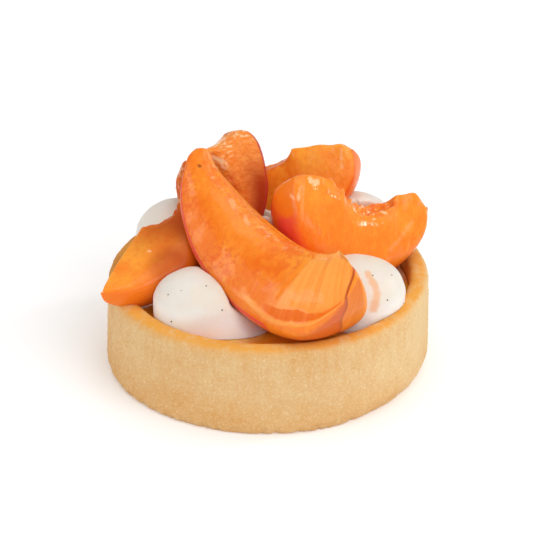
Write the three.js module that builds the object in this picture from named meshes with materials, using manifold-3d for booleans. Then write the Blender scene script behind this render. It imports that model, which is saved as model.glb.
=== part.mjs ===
// Apricot tart: a round shortcrust case filled with jelly, six piped cream dollops,
// and five glazed apricot wedges heaped on top.
// Millimetres, +Z up. The origin is under the middle of the flat base.
import * as THREE from 'three';
import { mergeVertices } from 'three/addons/utils/BufferGeometryUtils.js';
import Module from 'manifold-3d';

const wasm = await Module();
wasm.setup();

// ---- Driving dimensions ----

const GAP = 0.3; // clearance between two pieces that touch
const WELD = 1e-4; // corners closer than this are one

// The pastry case, baked in a ring: 70 mm across and 20 mm high.
const CASE_RADIUS = 35.2;
const CASE_TAPER = 0.4; // how much narrower the wall is at the lip
const CASE_HEIGHT = 20.2;
const WALL = 4.5;
const FLOOR = 3;
const BASE_ROUNDING = 1.1;
const LIP_ROUNDING = 1.5;
const CASE_STEPS = 80;
const CURVE_STEPS = 4; // along each rounded corner of a turned profile
const RIM_TILT = 0.3; // the rim bakes a little higher on one side
const RIM_TILT_TOWARDS = 0.7; // radians from +X
const RIM_WAVE = 0.18;
const RIM_WAVES = 3;

// The apricot jelly that fills the case.
const JELLY_TOP = 17;
const JELLY_EDGE = 0.4; // rounding where the jelly meets the wall
const JELLY_STEPS = 60;

// A dollop is widest at this share of its height, and stands on this share of its radius.
const DOLLOP_WAIST = 0.42;
const DOLLOP_FOOT = 0.72;
const DOLLOP_STEPS = 24;
const DOLLOP_LEVELS = 12;
const DOLLOP_BULGE = 1.6; // higher is a fuller side between foot and waist
const DOLLOP_UNDERSIDE = 1.25; // higher is a broader flat underside
const TAIL_SPREAD = 0.5; // half width of the pulled tail, in radians

// Where each dollop stands, its size, and the way its tail was pulled off, in degrees.
// One is pressed flat through a point, at right angles to a direction.
const DOLLOPS = [
  {
    name: 'cream_front_left', at: [-13.8, -17.4], radius: 10.4, height: 12.6, tail: 2, towards: -20,
    pressedAt: [-13.3, -12.8, 28], pressedAlong: [0.563, 0.124, 0.817],
  },
  { name: 'cream_right', at: [19.2, -13], radius: 10, height: 12.4, tail: 2, towards: 130 },
  { name: 'cream_back_left', at: [-19, 13.3], radius: 9.8, height: 13.3, tail: 1.5, towards: 40 },
  { name: 'cream_back_right', at: [18.8, 16], radius: 9.8, height: 14, tail: 1.5, towards: 200 },
  { name: 'cream_back', at: [0.3, 20.2], radius: 9, height: 17.5, tail: 1, towards: 270 },
  { name: 'cream_centre', at: [0, 0.5], radius: 9.6, height: 15.5, tail: 1, towards: 180 },
];

// An apricot wedge runs between its two poles, the tip and the stem end.
// turn swings the belly round the line of the poles, from straight down, in degrees.
// pit is the depth of the stone's hollow. pitCentre, pitHalf and belly (the widest
// section) are shares of half the length, from the middle.
// blunt is how square each end is, stub how far it stands off the pole line, and dimple
// how far it bulges past its pole. sag drops the middle towards the belly, and hook lifts
// each end away from it. cap is how much of each end is rounded off.
const WEDGES = [
  {
    name: 'wedge_front', from: [-13.9, 6.7, 49.1], to: [18.8, -30.3, 39.7],
    turn: -8.3, radius: 24.4, angle: 54.4, belly: 0.29, sag: 0.8, hook: [0, 1.7],
    pit: 6.7, pitCentre: -0.09, pitHalf: 0.85, blunt: [2.5, 3.47],
    stub: [1.4, 2.3], dimple: [0.6, 3.5], cap: [1.8, 2.9],
  },
  {
    name: 'wedge_left', from: [-36.7, -13.5, 24.2], to: [-20, 18.6, 36.5],
    turn: -65.8, radius: 17.1, angle: 51.9, belly: 0.21, sag: 0.6, hook: [-0.3, 3.5],
    pit: 4.5, pitCentre: 0.47, pitHalf: 0.47, blunt: [2.41, 2.23],
    stub: [0.4, 4], dimple: [-0.7, 0.2], cap: [1.2, 2.2],
  },
  {
    name: 'wedge_right', from: [6.6, -2.1, 46.7], to: [36.1, 12.6, 31.7],
    turn: 2.1, radius: 22.4, angle: 65.3, belly: -0.06, sag: -0.2, hook: [0.6, 0.8],
    pit: 5.2, pitCentre: 0.08, pitHalf: 0.4, blunt: [2.7, 2.1],
    stub: [1.4, 1.6], dimple: [0.5, 0.4], cap: [2.2, 1.2],
  },
  {
    name: 'wedge_back_right', from: [-15.6, 26.7, 32.4], to: [16.9, 19.3, 42.7],
    turn: -0.3, radius: 16.6, angle: 58.7, belly: 0.34, sag: -0.9, hook: [-1.8, 0.6],
    pit: 3.4, pitCentre: -0.28, pitHalf: 0.56, blunt: [2.28, 2],
    stub: [0.7, 2.2], dimple: [1.1, 2.4], cap: [2, 1.2],
  },
  {
    name: 'wedge_upright', from: [-14.8, 18.9, 43.7], to: [-11.2, -7.2, 20.9],
    turn: 56.1, radius: 17, angle: 61.1, belly: -0.32, sag: -3.2, hook: [-2.8, 1.5],
    pit: 8.6, pitCentre: -0.01, pitHalf: 0.74, blunt: [2, 1.74],
    stub: [4, 1.3], dimple: [3.2, 3], cap: [1.3, 1.4],
  },
];

const WEDGE_SECTIONS = 16;
const WEDGE_POINTS = 20; // round one section, a multiple of four
const WEDGE_CORNERS = 7; // higher is a sharper edge between cut face and skin
const CORE_RADIUS = 0.8; // the blunt inner edge, where both cuts meet
const PIT_ROUNDNESS = 0.6; // lower is a steeper end to the stone's hollow
const STUB_SHARPNESS = 5; // how late along the wedge the stubs and dimples begin
const DIMPLE_START = 0.45; // a dimple is full from this share of the radius outwards
const DIMPLE_SHARPNESS = 4; // how late along the wedge a dimple begins
const HOOK_SHARPNESS = 3; // how late along the wedge a hook begins
const PIT_LIMIT = 0.6; // the hollow never takes more than this share of the flesh

// ---- Finishes ----

const PASTRY = { color: 0xe3b878, roughness: 0.85, metalness: 0 };
const JELLY = { color: 0xb5490f, roughness: 0.15, metalness: 0 };
const CREAM = { color: 0xf1ece4, roughness: 0.45, metalness: 0 };
const APRICOT = { color: 0xe8761e, roughness: 0.22, metalness: 0 };

// ---- Helpers ----

function namedMesh(name, geometry, finish) {
  const mesh = new THREE.Mesh(geometry, new THREE.MeshStandardMaterial(finish));
  mesh.name = name;
  return mesh;
}

// One closed mesh whose faces share their corners.
function welded(geometry) {
  geometry.deleteAttribute('normal');
  geometry.deleteAttribute('uv');
  return mergeVertices(geometry, WELD);
}

// Turns a profile on the XY plane about the vertical axis.
function turned(profile, steps) {
  const geometry = new THREE.LatheGeometry(profile.getPoints(CURVE_STEPS), steps);
  geometry.rotateX(Math.PI / 2);
  return welded(geometry);
}

// Calls change(x, y, z) for every corner and stores the point that it returns.
function reshape(geometry, change) {
  const place = geometry.attributes.position;
  for (let i = 0; i < place.count; i += 1) {
    place.setXYZ(i, ...change(place.getX(i), place.getY(i), place.getZ(i)));
  }
  return geometry;
}

function toSolid(geometry) {
  const vertProperties = new Float32Array(geometry.attributes.position.array);
  const triVerts = new Uint32Array(geometry.index.array);
  return new wasm.Manifold(new wasm.Mesh({ numProp: 3, vertProperties, triVerts }));
}

function toGeometry(solid) {
  const { vertProperties, triVerts } = solid.getMesh();
  const geometry = new THREE.BufferGeometry();
  geometry.setAttribute('position', new THREE.BufferAttribute(vertProperties, 3));
  geometry.setIndex(new THREE.BufferAttribute(triVerts, 1));
  return geometry;
}

// A copy of a piece, a little fatter all round, for cutting its neighbours clear of it.
function fattened(geometry, by) {
  const copy = geometry.clone();
  copy.computeVertexNormals();
  const { position, normal } = copy.attributes;
  for (let i = 0; i < position.count; i += 1) {
    const x = position.getX(i) + normal.getX(i) * by;
    const y = position.getY(i) + normal.getY(i) * by;
    const z = position.getZ(i) + normal.getZ(i) * by;
    position.setXYZ(i, x, y, z);
  }
  return copy;
}

// Presses a soft piece against its neighbours: what they take up is cut away,
// and loose scraps beyond them are dropped.
function pressedAgainst(geometry, neighbours, { pressedAt, pressedAlong }) {
  let solid = toSolid(geometry);
  if (pressedAt) {
    const inwards = new THREE.Vector3(...pressedAlong).normalize().negate();
    solid = solid.trimByPlane(inwards.toArray(), inwards.dot(new THREE.Vector3(...pressedAt)));
  }
  for (const neighbour of neighbours) {
    solid = solid.subtract(toSolid(fattened(neighbour, GAP)));
  }
  const scraps = solid.decompose().sort((a, b) => b.volume() - a.volume());
  return toGeometry(scraps[0]);
}

// ---- Pastry case and jelly ----

function caseGeometry() {
  const lipRadius = CASE_RADIUS - CASE_TAPER;
  const inside = CASE_RADIUS - WALL;
  const profile = new THREE.Path();
  profile.moveTo(0, 0);
  profile.lineTo(CASE_RADIUS - BASE_ROUNDING, 0);
  profile.quadraticCurveTo(CASE_RADIUS, 0, CASE_RADIUS, BASE_ROUNDING);
  profile.lineTo(lipRadius, CASE_HEIGHT - LIP_ROUNDING);
  profile.quadraticCurveTo(lipRadius, CASE_HEIGHT, lipRadius - WALL / 2, CASE_HEIGHT);
  profile.quadraticCurveTo(inside, CASE_HEIGHT, inside, CASE_HEIGHT - LIP_ROUNDING);
  profile.lineTo(inside - CASE_TAPER, FLOOR + BASE_ROUNDING);
  profile.quadraticCurveTo(inside - CASE_TAPER, FLOOR, inside - BASE_ROUNDING, FLOOR);
  profile.lineTo(0, FLOOR);
  // The rim is not quite level, and the base stays flat.
  return reshape(turned(profile, CASE_STEPS), (x, y, z) => {
    const angle = Math.atan2(y, x);
    const share = Math.max(0, (z - FLOOR) / (CASE_HEIGHT - FLOOR));
    const rise = RIM_TILT * Math.cos(angle - RIM_TILT_TOWARDS) + RIM_WAVE * Math.sin(RIM_WAVES * angle);
    return [x, y, z + rise * share];
  });
}

function jellyGeometry() {
  const radius = CASE_RADIUS - WALL - CASE_TAPER - GAP;
  const bottom = FLOOR + GAP;
  const profile = new THREE.Path();
  profile.moveTo(0, bottom);
  profile.lineTo(radius - BASE_ROUNDING, bottom);
  profile.quadraticCurveTo(radius, bottom, radius, bottom + BASE_ROUNDING);
  profile.lineTo(radius, JELLY_TOP - JELLY_EDGE);
  profile.quadraticCurveTo(radius, JELLY_TOP, radius - JELLY_EDGE, JELLY_TOP);
  profile.lineTo(0, JELLY_TOP);
  return turned(profile, JELLY_STEPS);
}

// ---- Cream ----

// A piped dollop: a ball that has settled, drawn out a little where the nozzle left it.
function dollopGeometry({ at, radius, height, tail, towards }) {
  const bottom = JELLY_TOP + GAP;
  const waist = height * DOLLOP_WAIST;
  const tailAngle = THREE.MathUtils.degToRad(towards);
  const ball = welded(new THREE.SphereGeometry(1, DOLLOP_STEPS, DOLLOP_LEVELS).rotateX(Math.PI / 2));
  return reshape(ball, (x, y, z) => {
    const spread = Math.hypot(x, y);
    const angle = Math.atan2(y, x);
    const offTail = Math.atan2(Math.sin(angle - tailAngle), Math.cos(angle - tailAngle));
    const pull = tail * Math.exp(-((offTail / TAIL_SPREAD) ** 2)) * spread;
    // Below the waist the side runs down to a foot, and the underside is flat.
    const foot = DOLLOP_FOOT + (1 - DOLLOP_FOOT) * Math.sqrt(Math.max(0, 1 - z * z));
    const reach = z < 0 ? foot * Math.min(1, spread * DOLLOP_BULGE) : spread;
    const level = z < 0 ? Math.max(0, waist * (1 + DOLLOP_UNDERSIDE * z)) : waist + (height - waist) * z;
    const across = reach * radius + pull;
    return [at[0] + across * Math.cos(angle), at[1] + across * Math.sin(angle), bottom + level];
  });
}

// ---- Apricot ----

// The inner and outer radius of a wedge at station s, from -1 at one pole to 1 at the other.
function wedgeRadii(wedge, s) {
  const end = s < wedge.belly ? 0 : 1;
  const fromBelly = Math.abs((s - wedge.belly) / (1 - wedge.belly * s));
  const blunt = wedge.blunt[end];
  const stub = wedge.stub[end];
  const round = (1 - fromBelly ** blunt) ** (1 / blunt);
  const outer = stub + (wedge.radius - stub) * round;
  const inPit = (s - wedge.pitCentre) / wedge.pitHalf;
  const pit = wedge.pit * Math.max(0, 1 - inPit * inPit) ** PIT_ROUNDNESS;
  const inner = CORE_RADIUS + pit + stub * Math.abs(s) ** STUB_SHARPNESS;
  return [Math.min(inner, stub + PIT_LIMIT * (outer - stub)), outer];
}

// The section of a wedge is a ring sector with rounded corners. Each point has its share
// of the opening angle and of the way from the inner to the outer radius, both -1 to 1.
function sectorOutline() {
  const outline = [];
  for (let i = 0; i < WEDGE_POINTS; i += 1) {
    const side = Math.floor((4 * i) / WEDGE_POINTS);
    const along = ((8 * i) / WEDGE_POINTS) % 2 - 1;
    const corner = [[1, along], [-along, 1], [-1, -along], [along, -1]][side];
    const [across, out] = corner.map((value) => Math.abs(value) ** WEDGE_CORNERS);
    const size = (across + out) ** (-1 / WEDGE_CORNERS);
    outline.push([corner[0] * size, corner[1] * size]);
  }
  return outline;
}

// One section of a wedge at station s, in the wedge's own frame: poles on X, belly towards -Z.
function wedgeSection(wedge, half, s) {
  const end = s < 0 ? 0 : 1;
  const opening = THREE.MathUtils.degToRad(wedge.angle) / 2;
  const [inner, outer] = wedgeRadii(wedge, s);
  const lowered = wedge.sag * (1 - s * s) - wedge.hook[end] * Math.abs(s) ** HOOK_SHARPNESS;
  const dimple = wedge.dimple[end] * Math.sign(s);
  const section = sectorOutline().map(([across, out]) => {
    const reach = inner + ((outer - inner) * (out + 1)) / 2;
    const full = Math.min(1, reach / (DIMPLE_START * wedge.radius));
    const x = half * s + dimple * full * s ** DIMPLE_SHARPNESS;
    const y = -reach * Math.sin(across * opening);
    const z = -reach * Math.cos(across * opening) - lowered;
    return new THREE.Vector3(x, y, z);
  });
  // Inside the cap, the section shrinks towards its centre as on a ball.
  const cap = wedge.cap[end] / half;
  const intoCap = Math.max(0, (Math.abs(s) - 1 + cap) / cap);
  const share = Math.sqrt(1 - intoCap * intoCap);
  const centre = middleOf(section);
  return section.map((point) => point.lerp(centre, 1 - share));
}

function middleOf(points) {
  const sum = new THREE.Vector3();
  points.forEach((point) => sum.add(point));
  return sum.divideScalar(points.length);
}

function wedgeGeometry(wedge) {
  const half = new THREE.Vector3(...wedge.from).distanceTo(new THREE.Vector3(...wedge.to)) / 2;
  const sections = [];
  for (let k = 1; k < WEDGE_SECTIONS; k += 1) {
    const s = Math.sin((Math.PI / 2) * ((2 * k) / WEDGE_SECTIONS - 1));
    sections.push(wedgeSection(wedge, half, s));
  }
  const tips = [middleOf(sections[0]), middleOf(sections[sections.length - 1])];
  tips[0].x = -half;
  tips[1].x = half;
  const corners = [tips[0], ...sections.flat(), tips[1]];
  const last = corners.length - 1;
  const faces = [];
  for (let j = 0; j < WEDGE_POINTS; j += 1) {
    const next = (j + 1) % WEDGE_POINTS;
    faces.push(0, 1 + next, 1 + j);
    for (let k = 0; k < WEDGE_SECTIONS - 2; k += 1) {
      const here = 1 + k * WEDGE_POINTS;
      const there = here + WEDGE_POINTS;
      faces.push(here + j, here + next, there + next);
      faces.push(here + j, there + next, there + j);
    }
    const end = last - WEDGE_POINTS;
    faces.push(end + j, end + next, last);
  }
  const geometry = new THREE.BufferGeometry();
  geometry.setFromPoints(corners);
  geometry.setIndex(faces);
  return geometry;
}

// The placing of a wedge: its X axis along the poles, its belly down and then turned.
function wedgePlace(wedge) {
  const from = new THREE.Vector3(...wedge.from);
  const to = new THREE.Vector3(...wedge.to);
  const along = to.clone().sub(from).normalize();
  const up = new THREE.Vector3(0, 0, 1).addScaledVector(along, -along.z).normalize();
  const side = up.clone().cross(along);
  const upright = new THREE.Matrix4().makeBasis(along, side, up);
  const swing = new THREE.Matrix4().makeRotationX(THREE.MathUtils.degToRad(wedge.turn));
  const place = new THREE.Matrix4().multiplyMatrices(upright, swing);
  return place.setPosition(from.add(to).multiplyScalar(0.5));
}

// ---- The tart ----

const tart = new THREE.Group();
const crust = caseGeometry();
const filling = jellyGeometry();
tart.add(namedMesh('crust', crust, PASTRY));
tart.add(namedMesh('filling', filling, JELLY));

// Each later piece gives way to those before it.
const laid = [crust, filling];
for (const wedge of WEDGES) {
  const whole = wedgeGeometry(wedge).applyMatrix4(wedgePlace(wedge));
  const fitted = pressedAgainst(whole, laid, wedge);
  laid.push(fitted);
  tart.add(namedMesh(wedge.name, fitted, APRICOT));
}
for (const dollop of DOLLOPS) {
  const fitted = pressedAgainst(dollopGeometry(dollop), laid, dollop);
  laid.push(fitted);
  tart.add(namedMesh(dollop.name, fitted, CREAM));
}

export default tart;
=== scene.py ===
# %% [markdown]
# # An apricot tart
#
# A small tart that you could hold in one hand: a pale sandy pastry case, dark orange
# jelly, soft balls of vanilla cream, and five wedges of glazed apricot on top.
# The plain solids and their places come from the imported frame. This lesson makes the
# fine surfaces round them: crumb, skin, flesh, glaze, cream and seeds.

import math
from itertools import product
from types import SimpleNamespace

import bpy
import numpy as np
from mathutils import Matrix, Vector


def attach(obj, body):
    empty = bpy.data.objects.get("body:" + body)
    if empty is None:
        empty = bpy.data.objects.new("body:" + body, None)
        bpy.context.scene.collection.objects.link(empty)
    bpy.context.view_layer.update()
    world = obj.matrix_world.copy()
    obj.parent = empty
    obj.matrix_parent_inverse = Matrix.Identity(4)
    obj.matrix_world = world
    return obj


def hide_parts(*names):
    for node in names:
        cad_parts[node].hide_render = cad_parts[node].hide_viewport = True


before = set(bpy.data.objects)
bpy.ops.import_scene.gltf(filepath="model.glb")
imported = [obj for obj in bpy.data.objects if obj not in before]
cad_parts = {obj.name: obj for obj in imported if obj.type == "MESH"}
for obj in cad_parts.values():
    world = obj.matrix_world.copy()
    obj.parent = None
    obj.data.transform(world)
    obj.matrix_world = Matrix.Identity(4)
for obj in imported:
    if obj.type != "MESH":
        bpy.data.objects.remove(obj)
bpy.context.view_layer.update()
MM = 0.001  # the frame is in metres, and a baker thinks in millimetres
print("frame nodes:", len(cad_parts))

# %% [markdown]
# ## The camera
#
# A long lens looks down on the tart from a little above. From 0.8 m away the round case
# hardly shrinks towards the back. The picture is square, and the camera looks at a point
# inside the heap, so that the whole tart lies round the middle of the picture.

# %% Camera
CAMERA_DISTANCE = 0.8
CAMERA_ELEVATION = math.radians(28.0)
CAMERA_ROLL = math.radians(0.8)
LOOK_AT = Vector((0, 0, 0.0217))
IMAGE_SIZE = 533
FOCAL_PIXELS = 3680.0  # how many pixels wide a metre is at one metre's distance
HALF_PIXEL = 0.5
NEAREST = 0.05  # nothing closer than this shows
SENSOR_MM = 36.0

camera_data = bpy.data.cameras.new("camera")
camera_data.sensor_width = SENSOR_MM
camera_data.lens = FOCAL_PIXELS / IMAGE_SIZE * SENSOR_MM
camera_data.shift_x = -HALF_PIXEL / IMAGE_SIZE
camera_data.clip_start = NEAREST
camera = bpy.data.objects.new("camera", camera_data)
backwards = Vector((0, -math.cos(CAMERA_ELEVATION), math.sin(CAMERA_ELEVATION)))
camera.matrix_world = (
    Matrix.Translation(LOOK_AT + backwards * CAMERA_DISTANCE)
    @ Matrix.Rotation(math.pi / 2 - CAMERA_ELEVATION, 4, "X")
    @ Matrix.Rotation(CAMERA_ROLL, 4, "Z")
)
bpy.context.scene.collection.objects.link(camera)
bpy.context.scene.camera = camera
print("lens in mm:", round(camera_data.lens, 1))

# %% [markdown]
# ## Light
#
# Wet glaze shows what it mirrors, so the lights are large soft panels. The one on the
# left lies where the cut face of the front wedge mirrors it, and turns that face pale.
# The key light on the right models the pastry wall, a weak fill from the front reaches
# the jelly under the fruit, a broad panel overhead lights the top of the heap, and a
# small one at the right puts sparks on the edges.

# %% Lights
HEART = Vector((0, 0, 0.03))  # what all the lights look at
PANELS = {  # place, width and height in metres, power in watts
    "light_left": ((-0.77, -0.16, 0.32), 0.6, 0.4, 1.75),
    "light_key": ((0.52, -0.52, 0.62), 0.6, 0.6, 3.1),
    "light_fill": ((0.06, -0.72, 0.46), 0.5, 0.3, 0.7),
    "light_top": ((0.10, 0.10, 0.80), 0.9, 0.7, 2.4),
    "light_spark": ((0.665, 0.216, 0.418), 0.12, 0.12, 0.9),
}
ROOM_LIGHT = 0.42

def soft_panel(name, place, width, height, power):
    light = bpy.data.lights.new(name, "AREA")
    light.shape = "RECTANGLE"
    light.size = width
    light.size_y = height
    light.energy = power
    lamp = bpy.data.objects.new(name, light)
    aim = (HEART - Vector(place)).to_track_quat("-Z", "Y").to_matrix().to_4x4()
    lamp.matrix_world = Matrix.Translation(place) @ aim
    bpy.context.scene.collection.objects.link(lamp)

for panel_name, panel in PANELS.items():
    soft_panel(panel_name, *panel)

world = bpy.data.worlds.new("studio")
world.use_nodes = True
world.node_tree.nodes["Background"].inputs["Color"].default_value = (1, 1, 1, 1)
world.node_tree.nodes["Background"].inputs["Strength"].default_value = ROOM_LIGHT
bpy.context.scene.world = world
bpy.context.scene.view_settings.view_transform = "Standard"
print("lights:", len(bpy.data.lights))

# %% [markdown]
# ## Small helpers
#
# A few helpers serve every piece: one makes a mesh from arrays of points and faces, one
# makes smooth random values in space, and the others start a material and wire its nodes.

# %% Mesh helper
def make_piece(name, points, faces, values=None):
    """A smooth mesh object from points in mm. values holds a number for each point, by name."""
    mesh = bpy.data.meshes.new(name)
    corners = [tuple(int(i) for i in face) for face in faces]
    mesh.from_pydata((np.asarray(points) * MM).tolist(), [], corners)
    for key, value in (values or {}).items():
        layer = mesh.attributes.new(key, "FLOAT", "POINT")
        layer.data.foreach_set("value", np.asarray(value, dtype=np.float32).ravel())
    mesh.polygons.foreach_set("use_smooth", [True] * len(mesh.polygons))
    mesh.update()
    piece = bpy.data.objects.new(name, mesh)
    bpy.context.scene.collection.objects.link(piece)
    return piece

# %% Smooth random values
# Large odd numbers shuffle a cell's place into a value that looks random.
SHUFFLE = (73856093, 19349663, 83492791)
SHUFFLE_SEED = 2654435
SHUFFLE_AGAIN = 1274126177
LARGEST_KEY = 0x7FFFFFFF
HALF_KEY = 0x3FFFFFFF
SEED_SHIFT = 7.31

def soft_noise(points, size, seed):
    """A smooth random value between -1 and 1 for each point, with lumps of the given size in mm."""
    cells = np.asarray(points) / size + seed * SEED_SHIFT
    low = np.floor(cells).astype(np.int64)
    part = cells - low
    blend = part * part * (3 - 2 * part)
    total = np.zeros(len(cells))
    for corner in product((0, 1), repeat=3):
        x, y, z = (low + corner).T
        key = (x * SHUFFLE[0]) ^ (y * SHUFFLE[1]) ^ (z * SHUFFLE[2]) ^ (seed * SHUFFLE_SEED)
        key = ((key ^ (key >> 13)) * SHUFFLE_AGAIN) & LARGEST_KEY
        value = key / HALF_KEY - 1.0
        weight = np.prod(np.where(np.array(corner) == 1, blend, 1 - blend), axis=1)
        total += value * weight
    return total

def smooth_step(low, high, value):
    """0 up to low and 1 from high, with a soft start and end; low may be the larger one."""
    share = np.clip((value - low) / (high - low), 0, 1)
    return share * share * (3 - 2 * share)

# %% Material helpers
def new_material(name, base, **sockets):
    """A material whose shader gets the given sockets; returns it with its tree and shader."""
    material = bpy.data.materials.new(name)
    material.use_nodes = True
    tree = material.node_tree
    shader = tree.nodes["Principled BSDF"]
    shader.inputs["Base Color"].default_value = (*base, 1)
    for socket, value in sockets.items():
        shader.inputs[socket.replace("_", " ")].default_value = value
    return material, tree, shader

def add_node(tree, kind, settings=None, **sockets):
    """A node with settings on itself and values or links on its named input sockets."""
    node = tree.nodes.new(kind)
    for key, value in (settings or {}).items():
        setattr(node, key, value)
    for key, value in sockets.items():
        plug_in(tree, node, key.replace("_", " "), value)
    return node

def plug_in(tree, node, socket, value):
    """Sets a socket, by name or number, to a value, or links it to another node's output."""
    target = node.inputs[int(socket) if str(socket).isdigit() else socket]
    if isinstance(value, bpy.types.NodeSocket):
        tree.links.new(value, target)
        return
    wants = len(target.default_value) if hasattr(target.default_value, "__len__") else 1
    if wants == 4 and len(value) == 3:
        value = (*value, 1)
    target.default_value = value

def attribute(tree, name):
    return add_node(tree, "ShaderNodeAttribute", {"attribute_name": name}).outputs["Fac"]

def noise(tree, scale, detail=3.0, roughness=0.5, vector=None, seed=0.0, distortion=0.0):
    """A noise value with lumps 1 / scale metres wide, on the piece's own coordinates."""
    if vector is None:
        vector = add_node(tree, "ShaderNodeTexCoord").outputs["Object"]
    node = add_node(tree, "ShaderNodeTexNoise", {"noise_dimensions": "4D"}, Vector=vector, W=seed,
                    Scale=scale, Detail=detail, Roughness=roughness, Distortion=distortion)
    return node.outputs["Fac"]

def ramp(tree, value, low, high, low_out=0.0, high_out=1.0):
    """Goes smoothly from low_out at low to high_out at high; low may be the larger one."""
    node = add_node(tree, "ShaderNodeMapRange", {"interpolation_type": "SMOOTHSTEP"}, Value=value)
    ends = {"From Min": low, "From Max": high, "To Min": low_out, "To Max": high_out}
    for socket, number in ends.items():
        plug_in(tree, node, socket, number)
    return node.outputs["Result"]

def maths(tree, operation, first, second=0.0):
    node = add_node(tree, "ShaderNodeMath", {"operation": operation})
    plug_in(tree, node, 0, first)
    plug_in(tree, node, 1, second)
    return node.outputs["Value"]

def times(tree, first, second):
    return maths(tree, "MULTIPLY", first, second)

def plus(tree, first, second):
    return maths(tree, "ADD", first, second)

def larger(tree, first, second):
    return maths(tree, "MAXIMUM", first, second)

def tint(tree, colour, other, *shares):
    """Mixes the other colour into the first, by the product of the shares."""
    share = shares[0]
    for factor in shares[1:]:
        share = times(tree, share, factor)
    node = add_node(tree, "ShaderNodeMix", {"data_type": "RGBA"})
    plug_in(tree, node, 0, share)
    plug_in(tree, node, 6, colour)
    plug_in(tree, node, 7, other)
    return node.outputs[2]

def bump(tree, height, depth_mm, normal=None):
    node = add_node(tree, "ShaderNodeBump", Height=height, Distance=depth_mm * MM, Strength=1.0)
    if normal is not None:
        plug_in(tree, node, "Normal", normal)
    return node.outputs["Normal"]

# %% Vector helpers
def combine(tree, x, y, z):
    return add_node(tree, "ShaderNodeCombineXYZ", X=x, Y=y, Z=z).outputs["Vector"]

def take_apart(tree, vector):
    return add_node(tree, "ShaderNodeSeparateXYZ", Vector=vector).outputs

def vector_maths(tree, operation, first, second=None, scale=None, output="Vector"):
    node = add_node(tree, "ShaderNodeVectorMath", {"operation": operation})
    plug_in(tree, node, 0, first)
    if second is not None:
        plug_in(tree, node, 1, second)
    if scale is not None:
        plug_in(tree, node, "Scale", scale)
    return node.outputs[output]

def length_of(tree, vector):
    return vector_maths(tree, "LENGTH", vector, output="Value")

print("helpers ready")
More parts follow.
